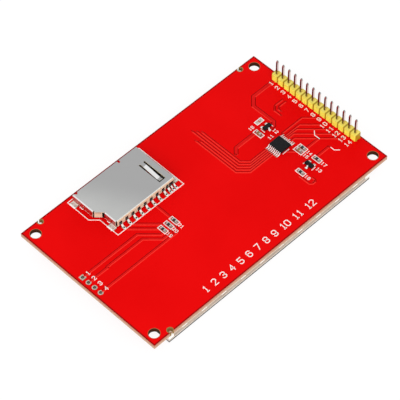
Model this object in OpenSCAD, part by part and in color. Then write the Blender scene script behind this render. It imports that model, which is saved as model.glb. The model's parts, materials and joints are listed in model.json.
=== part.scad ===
// Serial colour display module: a touch display bonded to the back of a circuit board
// that carries a pin header, a memory card socket and the touch controller.
// The module lies on its display. Origin: centre of the display's face, +Z towards the parts.

/* [Board] */
// Length of the circuit board, along X
board_l = 98; // [82:0.5:118]
// Width of the circuit board, along Y
board_w = 56.34; // [46.9:0.01:68]
// Thickness of the circuit board
board_t = 1.6; // [1.2, 1.6, 2.0]
// Diameter of the four corner holes
mount_d = 3.4; // [2.8:0.1:4.2]
// Distance from the board's ends to the corner holes' centres
mount_end = 3; // [2.5:0.1:3.6]
// Distance from the board's sides to the corner holes' centres
mount_side = 3.17; // [2.6:0.01:3.8]

/* [Display] */
// Bare board beyond each end of the display
end_margin = 6.65; // [5.5:0.05:8]
// Bare board beyond each side of the display
side_margin = 0.84; // [0.7:0.01:1]
// Thickness of the touch panel's film
film_t = 0.2; // [0.15:0.01:0.25]
// Thickness of the touch panel's glass
touch_glass_t = 0.9; // [0.7:0.05:1.1]
// Thickness of each sheet of the display cell's glass
cell_glass_t = 0.4; // [0.3:0.05:0.5]
// Thickness of the light guide
guide_t = 0.55; // [0.4:0.05:0.7]
// Thickness of the metal tray behind the light guide
tray_t = 0.2; // [0.15:0.01:0.25]
// Pitch of the clips along the tray's long sides
clip_pitch = 8; // [6.5:0.5:10]
// Thickness of the foam tape between the tray and the board
tape_t = 0.9; // [0.75:0.05:1.1]

/* [Pin header] */
// Number of pins
pin_count = 14; // [14]
// Pitch of the pins
pin_pitch = 2.54; // [2:0.01:2.54]
// Side of each square pin
pin_w = 0.64; // [0.5:0.01:0.7]
// Length of the pins above the housing
pin_above = 6; // [5:0.1:7.2]
// Length of the pins below the housing
pin_below = 3; // [2.6:0.1:3.6]
// Distance from the board's end to the row of pins
header_end = 1.7; // [1.45:0.05:2]

/* [Card socket] */
// Width of the memory card
card_w = 24; // [20:0.1:28.8]
// Thickness of the memory card
card_t = 2.1; // [1.75:0.05:2.5]
// Depth of the socket's cover, from the contacts to the mouth
socket_d = 16.5; // [15:0.1:19.8]
// Thickness of the cover's sheet metal
cover_t = 0.2; // [0.15:0.01:0.25]
// Leg of the 45 degree corner that keys the card
key_leg = 2.2; // [1.9:0.1:2.6]
// Pitch of the card contacts
contact_pitch = 2.5; // [2.1:0.05:2.5]
// Thickness of the contact springs
contact_t = 0.15; // [0.12:0.01:0.18]

/* [Chips] */
// Pitch of the touch controller's leads
lead_pitch = 0.65; // [0.55:0.05:0.65]
// Length of each chip resistor and capacitor
chip_l = 1.6; // [1.35:0.05:1.9]
// Width of each chip resistor and capacitor
chip_w = 0.8; // [0.7:0.05:0.95]

/* [Hidden] */

// Fits and small thicknesses
fit = 0.1;                          // clearance round a piece that drops into a pocket
pad_t = 0.05;                       // copper and tin on the board
drill_wall = 0.05;                  // plating inside a hole
ribbon_t = 0.1;                     // flexible circuit
bond_t = 0.2;                       // adhesive between touch panel and display
polarizer_t = 0.15;
diffuser_t = 0.2;
reflector_t = 0.1;
cell_gap = 0.05;                    // air between the cell and the touch panel's bond

// The display
display_l = board_l - 2 * end_margin;
display_w = board_w - 2 * side_margin;
corner_post = 2;                    // side of the open corners of the tray
frame_l = display_l - 2 * tray_t;
frame_w = display_w - 2 * tray_t;
frame_wall = 0.9;
cell_l = frame_l - 2 * (frame_wall + fit);
cell_w = frame_w - 2 * (frame_wall + fit);
cell_ledge = 3.6;                   // rear glass beyond the front glass, for the driver chip
shelf = 1;                          // frame shelf that the cell rests on
guide_room_l = cell_l + 2 * fit - 2 * shelf;
guide_room_w = cell_w + 2 * fit - 2 * shelf;
led_room = 1.6;                     // end of the light guide's room that the lamps take
guide_l = guide_room_l - led_room - 2 * fit;
guide_w = guide_room_w - 2 * fit;

// Levels, from the display's face up
glass_z = film_t;
bond_z = glass_z + touch_glass_t;
frame_z = bond_z + bond_t;
front_glass_z = frame_z + cell_gap + polarizer_t;
rear_glass_z = front_glass_z + cell_glass_t;
shelf_z = rear_glass_z + cell_glass_t;
diffuser_z = shelf_z + polarizer_t;
guide_z = diffuser_z + diffuser_t;
reflector_z = guide_z + guide_t;
tray_z = reflector_z + reflector_t;
tape_z = tray_z + tray_t;
board_z = tape_z + tape_t;
top_z = board_z + board_t;

// Clips of the tray: as many as fit each side
clip_w = 2;
clip_h = 0.8;
clip_z = tray_z - 0.3 - clip_h;
side_clips = 2 * floor((frame_l / 2 - 2 * corner_post - clip_w) / clip_pitch + 0.5);
end_clips = 2;

// Ribbons, both folded round the +X end of the display
ribbon_w = display_w - 18.7;
ribbon_reach = 27;                  // from the display's end to the ribbon's lands
land_pitch = 0.8;
land_l = 2.4;
lands = floor(ribbon_w / land_pitch) - 1;
tail_w = 6;
tail_y = 5.3 - display_w / 2;
tail_reach = 15;

// The pin header
housing = pin_pitch;                // each cell of the housing is a cube with cut corners
housing_cut = 0.4;
pin_len = pin_above + housing + pin_below;
plated_bore = 1;
ring_d = 1.7;
header_x = board_l / 2 - header_end;
card_header_x = 1.95 - board_l / 2;
card_header_y = -0.1;
card_header_pins = 4;
tooling_d = 1.6;
tooling_end = 7;
tooling_side = 0.77;

// The card socket, in its own frame: x from the cover's keyed side, y from the contact side
floor_t = 0.4;
card_fit = 0.1;
socket_h = floor_t + card_t + card_fit + cover_t;
keyed_rail = 0.6;                   // cover and rail outside the card on the keyed side
switch_rail = 1.4;                  // rail and switch channel on the other side
socket_w = cover_t + keyed_rail + card_w + switch_rail + cover_t;
key_y = 7.6;                        // where the 45 degree corner starts
block_d = 3.5;                      // depth of the block that grips the contacts
bend_r = 0.4;                       // outer radius of the cover's folds
wall_gap = 0.3;                     // under the cover's walls
contact_w = 0.7;
contact_z = 0.7;                    // centre of the contacts inside the block
contact_lead = 1.7;                 // length of the leads outside the cover
contact_x0 = cover_t + keyed_rail + 3.2;
last_pitch = 0.68 * contact_pitch;  // the ninth contact stands closer to the eighth
foot_l = 1.3;
foot_w = 2.2;
spring_w = 1.3;                     // card spring cut from the cover's sheet
spring_l = 8.2;
spring_x = cover_t + keyed_rail + card_w - 1.8;
spring_y = 1.8;
socket_end = 19;                    // from the board's end to the cover's keyed side
mouth_inset = 2;                    // from the board's side to the mouth
socket_x = socket_end - board_l / 2;
socket_y = board_w / 2 - mouth_inset - socket_d;
socket_pegs = [[5.25, 2], [21.25, 2]];
peg_d = 1;

// Places of the small parts: [from the header's end of the board, y]
controller_at = [20.15, -2.65];
regulator_at = [17.9, 5.05];
transistor_at = [19.4, -14.1];
jumper_at = [17.8, 8.5];
capacitor_at = [[17.5, -8], [21.4, 5.2]];
resistor_at = [[15.9, -8], [23.1, -14.1], [16, -14.1]];
// Pull-up resistors: [from the socket's keyed side, from the socket's contact side]
pull_up_at = [[11.6, -10], [14, -10], [16.3, -10]];

// ---------------------------------------------------------------- sheet metal helpers

function unit(v) = v / norm(v);
function left_of(v) = [-v[1], v[0]];
function reversed(list) = [for (i = [len(list) - 1 : -1 : 0]) list[i]];

// Arc of radius r that replaces the corner b between a and c
function corner_arc(a, b, c, r, n) =
    let (
        u = unit(a - b),
        w = unit(c - b),
        half = acos(u * w) / 2,
        centre = b + unit(u + w) * r / sin(half),
        p = b + u * r / tan(half) - centre,
        q = b + w * r / tan(half) - centre,
        start = atan2(p[1], p[0]),
        sweep = (atan2(q[1], q[0]) - start + 540) % 360 - 180
    )
    [for (i = [0 : n]) centre + r * [cos(start + sweep * i / n), sin(start + sweep * i / n)]];

// A centre line with each of its corners turned into an arc
function rounded(line, r, n = 5) = concat(
    [line[0]],
    [for (i = [1 : len(line) - 2]) each corner_arc(line[i - 1], line[i], line[i + 1], r, n)],
    [line[len(line) - 1]]
);

// A line moved sideways by d, mitred at its corners
function moved_line(line, d) = [
    for (i = [0 : len(line) - 1])
        let (
            a = left_of(unit(line[max(i, 1)] - line[max(i, 1) - 1])),
            last = len(line) - 2,
            b = left_of(unit(line[min(i, last) + 1] - line[min(i, last)]))
        )
        line[i] + (a + b) * d / (1 + a * b)
];

// Outline of a strip of thickness t that follows a centre line
function strip(line, t) = concat(moved_line(line, t / 2), reversed(moved_line(line, -t / 2)));

// A bent strip of width w, its profile in the XZ plane, centred on y = 0
module strip_xz(line, t, w) {
    rotate([90, 0, 0])
        linear_extrude(w, center = true)
            polygon(strip(line, t));
}

// A bent strip of width w, its profile in the YZ plane, centred on x = 0
module strip_yz(line, t, w) {
    rotate([90, 0, 90])
        linear_extrude(w, center = true)
            polygon(strip(line, t));
}

// A block centred in plan that stands on z = 0
module slab(l, w, h) {
    translate([-l / 2, -w / 2, 0])
        cube([l, w, h]);
}

// ---------------------------------------------------------------- places on the board

module at_corners(dx, dy) {
    for (sx = [-1, 1], sy = [-1, 1])
        translate([sx * dx, sy * dy, 0])
            children();
}

module at_pin(i) {
    translate([header_x, ((pin_count + 1) / 2 - i) * pin_pitch, 0])
        children();
}

module at_pins() {
    for (i = [1 : pin_count])
        at_pin(i)
            children();
}

module at_card_header(first, last) {
    for (i = [first : last])
        translate([card_header_x, card_header_y + ((card_header_pins + 1) / 2 - i) * pin_pitch, 0])
            children();
}

module at_tooling_holes() {
    x = board_l / 2 - tooling_end;
    y = board_w / 2 - tooling_side;
    for (p = [[-x, y], [x, y], [-x, -y]])
        translate(p)
            children();
}

// On the board's face, counted from the header's end
module at_part(place) {
    translate([board_l / 2 - place[0], place[1], top_z + pad_t])
        children();
}

module at_socket() {
    translate([socket_x, socket_y, top_z])
        children();
}

module at_pull_up(i) {
    translate([socket_x + pull_up_at[i][0], socket_y + pull_up_at[i][1], top_z + pad_t])
        children();
}

// ---------------------------------------------------------------- board

module pcb() {
    color("red")
        translate([0, 0, board_z])
            linear_extrude(board_t)
                difference() {
                    square([board_l, board_w], center = true);
                    at_corners(board_l / 2 - mount_end, board_w / 2 - mount_side)
                        circle(d = mount_d, $fn = 64);
                    at_tooling_holes()
                        circle(d = tooling_d, $fn = 48);
                    at_pins()
                        circle(d = plated_bore + 2 * drill_wall, $fn = 32);
                    at_card_header(1, card_header_pins)
                        circle(d = plated_bore + 2 * drill_wall, $fn = 32);
                    translate([socket_x, socket_y])
                        for (p = socket_pegs)
                            translate(p)
                                circle(d = peg_d, $fn = 32);
                }
}

// A copper barrel with a ring on each face of the board
module plated_hole() {
    r = plated_bore / 2;
    rotate_extrude($fn = 48)
        polygon([
            [r, -pad_t], [ring_d / 2, -pad_t], [ring_d / 2, 0], [r + drill_wall, 0],
            [r + drill_wall, board_t], [ring_d / 2, board_t],
            [ring_d / 2, board_t + pad_t], [r, board_t + pad_t],
        ]);
}

module plated_holes() {
    color("gainsboro")
        translate([0, 0, board_z]) {
            at_pins()
                plated_hole();
            at_card_header(2, card_header_pins)
                plated_hole();
            // The first hole of the card header has square rings
            at_card_header(1, 1)
                difference() {
                    union() {
                        for (z = [-pad_t, board_t])
                            translate([0, 0, z])
                                slab(ring_d, ring_d, pad_t);
                        cylinder(h = board_t, d = plated_bore + 2 * drill_wall, $fn = 48);
                    }
                    translate([0, 0, -1])
                        cylinder(h = board_t + 2, d = plated_bore, $fn = 48);
                }
        }
}

module pad(x, y, l, w) {
    translate([x, y, 0])
        slab(l, w, pad_t);
}

// Two pads of a chip resistor or capacitor that lies along Y
module chip_pads() {
    translate([0, 0, -pad_t])
        for (s = [-1, 1])
            pad(0, s * chip_l / 2, chip_w + 0.1, 0.9);
}

module component_pads() {
    color("gainsboro") {
        for (place = concat(capacitor_at, resistor_at))
            at_part(place)
                chip_pads();
        for (i = [0 : len(pull_up_at) - 1])
            at_pull_up(i)
                chip_pads();
        at_part(controller_at)
            translate([0, 0, -pad_t])
                for (i = [0 : 7], s = [-1, 1])
                    pad(s * 3.15, (i - 3.5) * lead_pitch, 1.7, 0.36);
        at_part(regulator_at)
            translate([0, 0, -pad_t])
                sot_pads();
        at_part(transistor_at)
            translate([0, 0, -pad_t])
                rotate(-90)
                    sot_pads();
        at_part(jumper_at)
            translate([0, 0, -pad_t])
                for (s = [-1, 1])
                    pad(s * 0.7, 0, 1.1, 1.4);
        at_socket() {
            for (i = [1 : 9])
                pad(contact_x(i), -contact_lead / 2 - 0.35, 1, 1.8);
            for (x = switch_x)
                pad(x, -contact_lead / 2 - 0.35, 0.7, 1.8);
            for (foot = feet)
                pad(foot[0] + foot[2] * (foot_l / 2 + 0.1), foot[1], foot_l + 0.4, foot_w + 0.4);
        }
        translate([display_l / 2 - ribbon_reach, 0, board_z - pad_t])
            for (i = [0 : lands - 1])
                pad(0, (i - (lands - 1) / 2) * land_pitch, land_l, 0.45);
        translate([display_l / 2 - tail_reach, tail_y, board_z - pad_t])
            for (i = [0 : 3])
                pad(0, (i - 1.5) * 1.25, land_l, 0.8);
    }
}

// ---------------------------------------------------------------- pin header

module header_housing() {
    h = housing / 2;
    c = housing_cut;
    half = pin_count * housing / 2;
    // One side of the row: every cell has its corners cut, so cells meet in V notches
    side = [
        for (i = [0 : pin_count - 1])
            let (y = i * housing - half)
            each [[h - c, y], [h, y + c], [h, y + housing - c], [h - c, y + housing]]
    ];
    color("yellow")
        translate([header_x, 0, top_z + pad_t])
            difference() {
                linear_extrude(housing)
                    polygon(concat(side, [for (p = reversed(side)) [-p[0], p[1]]]));
                translate([-header_x, 0, 0])
                    at_pins()
                        slab(pin_w, pin_w, housing);
                // Relief channel over the solder
                translate([-0.6, -half - 1, 0])
                    cube([1.2, 2 * half + 2, 0.25]);
            }
}

// Square pin with a four-sided taper at both ends
module header_pin(i) {
    a = pin_w / 2;
    b = 0.3 * pin_w;
    taper = 0.7;
    profile = [
        [-b, 0], [b, 0], [a, taper], [a, pin_len - taper],
        [b, pin_len], [-b, pin_len], [-a, pin_len - taper], [-a, taper],
    ];
    color("rosybrown")
        at_pin(i)
            translate([0, 0, top_z + pad_t - pin_below])
                intersection() {
                    rotate([90, 0, 0])
                        linear_extrude(pin_w, center = true)
                            polygon(profile);
                    rotate([90, 0, 90])
                        linear_extrude(pin_w, center = true)
                            polygon(profile);
                }
}

// Solder that fills each barrel and climbs the tail of its pin
module header_solder() {
    r = plated_bore / 2;
    climb = min(1, pin_below - board_t - 2 * pad_t - 0.25);
    color("silver")
        at_pins()
            translate([0, 0, board_z - pad_t])
                difference() {
                    rotate_extrude($fn = 32)
                        polygon([
                            [0, -climb], [0.48, -climb], [0.56, -0.45 * climb],
                            [ring_d / 2 - 0.05, 0], [r, 0],
                            [r, board_t + 2 * pad_t], [0, board_t + 2 * pad_t],
                        ]);
                    translate([0, 0, -2])
                        slab(pin_w, pin_w, board_t + 4);
                }
}

// ---------------------------------------------------------------- memory card socket

// Outline of the cover: walled sides moved in by d, the 45 degree side by key; the mouth stays open
function cover_outline(d, key) = [
    [socket_w - d, d], [socket_w - d, socket_d], [d, socket_d],
    [d, key_y + key * sqrt(2) - d],
    [key_leg + d, key_y + key * sqrt(2) - key_leg - d],
    [key_leg + d, d],
];

// Plan of a strip along the 45 degree side, from leg a to leg b, between depths c0 and c1
module key_strip(a, b, c0, c1) {
    polygon([for (p = [[a, c0], [b, c0], [b, c1], [a, c1]]) [p[0] + p[1], key_y - p[0] + p[1]]]);
}

function contact_x(i) = contact_x0 + (min(i, 8) - 1) * contact_pitch + (i == 9 ? last_pitch : 0);
switch_x = [contact_x(9) + 1.2, contact_x(9) + 2.3];

// Soldered feet of the cover: [x of the wall, y of the middle, side]
feet = [
    [0, socket_d - foot_w / 2 - 0.2, -1],
    [key_leg, foot_w / 2 + 0.1, -1],
    [socket_w, socket_d - foot_w / 2 - 0.2, 1],
    [socket_w, foot_w / 2 + 0.1, 1],
];

// Lanced locking tongues of the cover's walls: [x of the wall, y of the middle, side]
lances = [
    [0, key_y + 4.6, -1],
    [key_leg, foot_w + 0.95, -1],
    [socket_w, key_y + 4.6, 1],
    [socket_w, foot_w + 0.95, 1],
];

// A wall of the cover along +X with its fold; the sheet it hangs from lies on the +Y side
module folded_wall(l) {
    t = cover_t;
    translate([l / 2, 0, 0])
        strip_yz(
            rounded([[bend_r + t, socket_h - t / 2], [t / 2, socket_h - t / 2], [t / 2, wall_gap]],
                bend_r - t / 2, 6),
            t, l);
}

// Foot folded outwards from the bottom of a wall, with two solder holes
module cover_foot() {
    t = cover_t;
    difference() {
        strip_xz(
            rounded([[-t / 2, 1], [-t / 2, pad_t + t / 2], [foot_l, pad_t + t / 2]], 0.25, 4),
            t, foot_w);
        for (s = [-1, 1])
            translate([0.6 * foot_l, s * 0.27 * foot_w, -1])
                cylinder(h = 2, d = 0.5, $fn = 24);
    }
}

module card_socket_cover() {
    t = cover_t;
    relief = bend_r + 0.05;
    lance_h = socket_h - 1.2;
    color("silver")
        at_socket() {
            difference() {
                union() {
                    translate([0, 0, socket_h - t])
                        linear_extrude(t)
                            polygon(cover_outline(bend_r + t / 2, 0));
                    // Contact side, switch side, keyed side in three runs
                    translate([key_leg + relief, 0, 0])
                        folded_wall(socket_w - key_leg - 2 * relief);
                    translate([socket_w, relief, 0])
                        rotate(90)
                            folded_wall(socket_d - relief);
                    translate([0, socket_d, 0])
                        rotate(-90)
                            folded_wall(socket_d - key_y - 0.3);
                    translate([0, 0, wall_gap])
                        linear_extrude(socket_h - wall_gap)
                            key_strip(0.25, key_leg - 0.3, 0, t / sqrt(2));
                    translate([key_leg, key_y - key_leg - 0.4, 0])
                        rotate(-90)
                            folded_wall(key_y - key_leg - 0.4 - relief);
                }
                // Comb openings over the contacts, one wide one over the switch leads
                for (i = [1 : 9])
                    translate([contact_x(i) - 0.6, -1, 0])
                        cube([1.2, 2, 1.9]);
                translate([switch_x[0] - 0.5, -1, 0])
                    cube([switch_x[1] - switch_x[0] + 0.9, 2, 1.9]);
                // Slot round the card spring
                translate([spring_x - spring_w / 2 - 0.6, spring_y, 1])
                    cube([spring_w + 1.2, spring_l + 0.8, socket_h]);
                // Notches in the mouth's edge
                translate([1.3, socket_d, socket_h - 1])
                    linear_extrude(2)
                        polygon([[-0.8, 0.1], [0.8, 0.1], [0, -0.8]]);
                translate([spring_x - 4.8, socket_d - 0.9, socket_h - 0.9])
                    cube([0.7, 2, 2]);
                // Relief slot that leaves the 45 degree wall on two necks
                translate([0, 0, socket_h - 0.45])
                    linear_extrude(0.22)
                        key_strip(0.45, key_leg - 0.5, -1, 0.4);
                for (p = lances)
                    translate([p[0] - 0.5, p[1] - 0.55, 0.65])
                        cube([1, 1.1, lance_h]);
            }
            // Card spring, hinged on the mouth's side of its slot and dipping to the card
            translate([spring_x, spring_y, socket_h])
                strip_yz(
                    rounded([[spring_l + 0.9, -t / 2], [spring_l - 0.6, -t / 2],
                        [1.6, -0.8], [0.6, -0.45]], 1.2, 4),
                    t, spring_w);
            for (p = lances)
                translate([p[0], p[1], 0])
                    mirror([p[2] < 0 ? 1 : 0, 0, 0])
                        strip_xz([[-t / 2, 0.7 + lance_h], [-t / 2, 0.5 + lance_h], [0.25, 0.75]],
                            0.7 * t, 0.9);
            for (p = feet)
                translate([p[0], p[1], 0])
                    mirror([p[2] < 0 ? 1 : 0, 0, 0])
                        cover_foot();
        }
}

module card_socket_base() {
    t = cover_t;
    h = socket_h - t;
    card_x = t + keyed_rail;
    front = socket_d - 0.4;
    channel = switch_x[1];
    color("dimgray")
        at_socket()
            difference() {
                union() {
                    intersection() {
                        // The top edges step in under the cover's rounded folds
                        union() {
                            linear_extrude(socket_h - bend_r)
                                polygon(cover_outline(t, t));
                            linear_extrude(h)
                                polygon(cover_outline(bend_r, t));
                        }
                        union() {
                            cube([socket_w, front, floor_t]);
                            cube([socket_w, block_d, h]);
                            cube([card_x - card_fit, front, h]);
                            translate([card_x + card_w + card_fit, 0, 0])
                                cube([socket_w, front, h]);
                        }
                    }
                    for (p = socket_pegs)
                        translate([p[0], p[1], -0.75 * board_t])
                            cylinder(h = 0.75 * board_t + floor_t / 2, d = peg_d, $fn = 32);
                }
                // Tight slots that grip the contacts, and the floor windows their springs flex in
                for (i = [1 : 9]) {
                    translate([contact_x(i) - contact_w / 2, 0, contact_z - contact_t / 2])
                        cube([contact_w, block_d + 1, contact_t]);
                    translate([contact_x(i) - contact_w / 2 - 0.2, block_d, -1])
                        cube([contact_w + 0.4, 6.2, 2]);
                }
                for (x = switch_x)
                    translate([x - 0.25, 0, contact_z - contact_t / 2])
                        cube([0.5, block_d + 1, contact_t]);
                // Pocket under the cover's card spring
                translate([spring_x - spring_w / 2 - 0.3, spring_y, h - 1.15])
                    cube([spring_w + 0.6, block_d, 2]);
                // Channel for the long switch spring in the side rail
                translate([channel - 0.35, block_d, floor_t])
                    cube([0.7, front - block_d - 1.5, h]);
                // Opening in the floor towards the mouth
                translate([card_x + 2.5, block_d + 7.5, -1])
                    cube([card_w - 5, front - block_d - 9, 2]);
            }
}

// Centre line of a contact: solder foot, step up to the block, spring and its raised tip
function contact_line(reach, lift) = [
    [-contact_lead, pad_t + contact_t / 2],
    [-contact_lead + 0.75, pad_t + contact_t / 2],
    [-0.45, contact_z],
    [block_d, contact_z],
    [block_d + reach - 0.9, contact_z + lift],
    [block_d + reach, contact_z + lift - 0.35],
];

module card_contact(i) {
    color("whitesmoke")
        at_socket()
            translate([contact_x(i), 0, 0])
                strip_yz(rounded(contact_line(5.8, 0.7), 0.25, 4), contact_t, contact_w);
}

// Two leads of the card switch: a short spring at the card and a long one in the rail
module card_switch() {
    color("whitesmoke")
        at_socket() {
            translate([switch_x[0], 0, 0])
                strip_yz(rounded(contact_line(2.6, 0.5), 0.2, 4), contact_t, 0.5);
            translate([switch_x[1], 0, 0])
                strip_yz(rounded(contact_line(10, 0.6), 0.2, 4), contact_t, 0.5);
        }
}

// ---------------------------------------------------------------- chips

// Moulded package body: widest at half height, with draft on all four sides
module moulded_body(l, w, h, draft) {
    intersection() {
        rotate([90, 0, 0])
            linear_extrude(2 * w, center = true)
                polygon([[-l / 2 + draft, 0], [l / 2 - draft, 0], [l / 2, h / 2],
                    [l / 2 - draft, h], [draft - l / 2, h], [-l / 2, h / 2]]);
        rotate([90, 0, 90])
            linear_extrude(2 * l, center = true)
                polygon([[-w / 2 + draft, 0], [w / 2 - draft, 0], [w / 2, h / 2],
                    [w / 2 - draft, h], [draft - w / 2, h], [-w / 2, h / 2]]);
    }
}

// Gull-wing lead that leaves a body at height z and lands at x = span / 2
module gull_lead(x, span, z, t, w, foot) {
    strip_xz(
        rounded([[x, z], [x + 0.3, z], [span / 2 - foot, t / 2], [span / 2, t / 2]], 0.12, 3),
        t, w);
}

controller_l = 4.4;
controller_w = 5;
controller_lift = 0.1;
controller_h = 1;

module touch_controller() {
    color("darkslategray")
        at_part(controller_at)
            translate([0, 0, controller_lift])
                difference() {
                    moulded_body(controller_l, controller_w, controller_h, 0.12);
                    // Round mark at the first lead
                    translate([controller_l / 2 - 0.7, controller_w / 2 - 0.7, controller_h - 0.06])
                        cylinder(h = 1, d = 0.6, $fn = 32);
                }
}

module touch_controller_leads() {
    color("gainsboro")
        at_part(controller_at)
            for (i = [0 : 7], s = [0, 1])
                translate([0, (i - 3.5) * lead_pitch, 0])
                    mirror([s, 0, 0])
                        gull_lead(controller_l / 2, 6.4, controller_lift + controller_h / 2,
                            0.13, 0.22, 0.55);
}

sot_l = 2.9;
sot_w = 1.3;
sot_h = 1;
sot_lift = 0.05;
sot_span = 2.4;
sot_pitch = 0.95;
sot_leads = [[-sot_pitch, 1], [sot_pitch, 1], [0, -1]];

// Three-lead transistor body with its long side along X, two leads on +Y
module sot_body() {
    translate([0, 0, sot_lift])
        moulded_body(sot_l, sot_w, sot_h, 0.08);
}

module sot_lead_set() {
    for (p = sot_leads)
        translate([p[0], 0, 0])
            rotate(p[1] * 90)
                gull_lead(sot_w / 2, sot_span, sot_lift + sot_h / 2, 0.12, 0.42, 0.35);
}

module sot_pads() {
    for (p = sot_leads)
        pad(p[0], p[1] * (sot_span / 2 - 0.05), 0.9, 0.95);
}

module regulator() {
    color("darkslategray")
        at_part(regulator_at)
            sot_body();
}

module regulator_leads() {
    color("gainsboro")
        at_part(regulator_at)
            sot_lead_set();
}

module transistor() {
    color("darkslategray")
        at_part(transistor_at)
            rotate(-90)
                sot_body();
}

module transistor_leads() {
    color("gainsboro")
        at_part(transistor_at)
            rotate(-90)
                sot_lead_set();
}

// Chip part along Y: a block with raised metal caps on its ends
module chip_part(h, cap) {
    skin = 0.02;
    translate([0, 0, skin])
        slab(chip_w - 2 * skin, chip_l - cap, h - 2 * skin);
    for (s = [-1, 1])
        translate([0, s * (chip_l - cap) / 2, 0])
            slab(chip_w, cap, h);
}

module chip_resistor() {
    h = 0.45;
    color("darkslategray") {
        chip_part(h, 0.3);
        // Glazed resistor element on top
        translate([0, 0, h - 0.02])
            slab(chip_w - 0.1, chip_l - 0.6, 0.03);
    }
}

module resistor(i) {
    if (i <= 3)
        at_pull_up(i - 1)
            chip_resistor();
    else
        at_part(resistor_at[i - 4])
            chip_resistor();
}

module capacitor(i) {
    color("tan")
        at_part(capacitor_at[i - 1])
            chip_part(chip_w, 0.35);
}

// ---------------------------------------------------------------- display

// Foam tape in a U that leaves room for both ribbons
module mounting_tape() {
    l = display_l / 2 - 1;
    w = display_w / 2 - 0.8;
    room = display_l / 2 - ribbon_reach - land_l - 2;
    color("white")
        translate([0, 0, tape_z])
            linear_extrude(tape_t)
                difference() {
                    square([2 * l, 2 * w], center = true);
                    translate([room, -ribbon_w / 2 - 1])
                        square([display_l, ribbon_w + 2]);
                    translate([display_l / 2 - tail_reach - land_l - 1, -display_w])
                        square([display_l, display_w]);
                }
}

// One clip of the frame, standing in a window of the tray's wall on the +Y side
module clip() {
    translate([-clip_w / 2, frame_w / 2, clip_z])
        rotate([90, 0, 90])
            linear_extrude(clip_w)
                polygon([[-0.2, 0], [tray_t, 0], [tray_t, 0.3 * clip_h], [0, clip_h], [-0.2, clip_h]]);
}

// The window in the tray's wall for that clip
module clip_window() {
    translate([0, display_w / 2, clip_z])
        slab(clip_w + fit, 1, clip_h + fit);
}

// Everything that stands at each clip: long sides, then ends
module at_clips() {
    for (i = [0 : side_clips - 1], s = [0, 1])
        mirror([0, s, 0])
            translate([(i - (side_clips - 1) / 2) * clip_pitch, 0, 0])
                children();
}

module at_end_clips() {
    for (i = [0 : end_clips - 1])
        translate([0, (i - (end_clips - 1) / 2) * 2 * clip_pitch, 0])
            rotate(90)
                translate([0, frame_l / 2 - frame_w / 2, 0])
                    children();
}

module display_tray() {
    h = tape_z - frame_z;
    color("silver")
        difference() {
            translate([0, 0, frame_z])
                slab(display_l, display_w, h);
            translate([0, 0, frame_z - 1])
                slab(frame_l, frame_w, tray_z - frame_z + 1);
            // Open corners, so that the walls fold from flat sheet
            at_corners(display_l / 2, display_w / 2)
                translate([0, 0, frame_z - 1])
                    slab(2 * corner_post, 2 * corner_post, tray_z - frame_z + 1);
            at_corners(display_l / 2, display_w / 2)
                translate([0, 0, frame_z])
                    slab(1.2, 1.2, h + 1);
            // Gap in the end wall that the ribbon leaves by
            translate([frame_l / 2 - 0.5, -ribbon_w / 2 - 0.6, frame_z - 1])
                cube([2, ribbon_w + 1.2, tray_z - frame_z + 1]);
            at_clips()
                clip_window();
            at_end_clips()
                clip_window();
        }
}

module backlight_frame() {
    h = tray_z - frame_z;
    color("white")
        union() {
            difference() {
                translate([0, 0, frame_z])
                    union() {
                        slab(frame_l, frame_w, h);
                        // Posts that fill the tray's open corners
                        intersection() {
                            slab(display_l, display_w, h);
                            at_corners(display_l / 2, display_w / 2)
                                slab(2 * corner_post - 2 * fit, 2 * corner_post - 2 * fit, h);
                        }
                    }
                // Pocket for the cell, then the room for guide and lamps behind it
                translate([0, 0, frame_z - 1])
                    slab(cell_l + 2 * fit, cell_w + 2 * fit, shelf_z - frame_z + 1);
                translate([0, 0, frame_z])
                    slab(guide_room_l, guide_room_w, h + 1);
                translate([cell_l / 2 - 1, -ribbon_w / 2 - 0.6, frame_z - 1])
                    cube([display_l, ribbon_w + 1.2, rear_glass_z - frame_z + 1]);
            }
            at_clips()
                clip();
            at_end_clips()
                clip();
        }
}

module reflector() {
    color("white")
        translate([-led_room / 2, 0, reflector_z])
            slab(guide_l, guide_w, reflector_t);
}

module light_guide() {
    color("aliceblue")
        translate([-led_room / 2, 0, guide_z])
            slab(guide_l, guide_w, guide_t);
}

// Row of side-firing lamps on a strip of flexible circuit at the guide's end
module led_strip() {
    lamps = 2 * floor(guide_w / 16);
    step = guide_w / lamps;
    w = led_room - 2 * fit;
    color("lightyellow")
        translate([guide_room_l / 2 - fit - w / 2, 0, tray_z - ribbon_t]) {
            slab(w, guide_w, ribbon_t);
            for (i = [0 : lamps - 1])
                translate([0, (i - (lamps - 1) / 2) * step, -guide_t])
                    slab(0.8, 3, guide_t);
        }
}

module diffuser() {
    color("whitesmoke")
        translate([-led_room / 2, 0, diffuser_z])
            slab(guide_l, guide_w, diffuser_t);
}

// Sheet of the cell with a polarizer bonded to its outer face
module cell_rear_glass() {
    color("lightsteelblue")
        translate([0, 0, rear_glass_z]) {
            slab(cell_l, cell_w, cell_glass_t);
            translate([-cell_ledge / 2, 0, cell_glass_t])
                slab(guide_room_l - cell_ledge - 0.6, guide_room_w - 0.6, polarizer_t);
        }
}

module cell_front_glass() {
    color("dimgray")
        translate([-cell_ledge / 2, 0, front_glass_z]) {
            slab(cell_l - cell_ledge, cell_w, cell_glass_t);
            translate([0, 0, -polarizer_t])
                slab(cell_l - cell_ledge - 1.6, cell_w - 1.6, polarizer_t);
        }
}

// Bare driver chip bonded to the ledge of the rear glass
module driver_chip() {
    color("gray")
        translate([cell_l / 2 - 0.66 * cell_ledge, 0, rear_glass_z - 0.3])
            slab(1.1, 0.4 * cell_w, 0.3);
}

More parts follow.
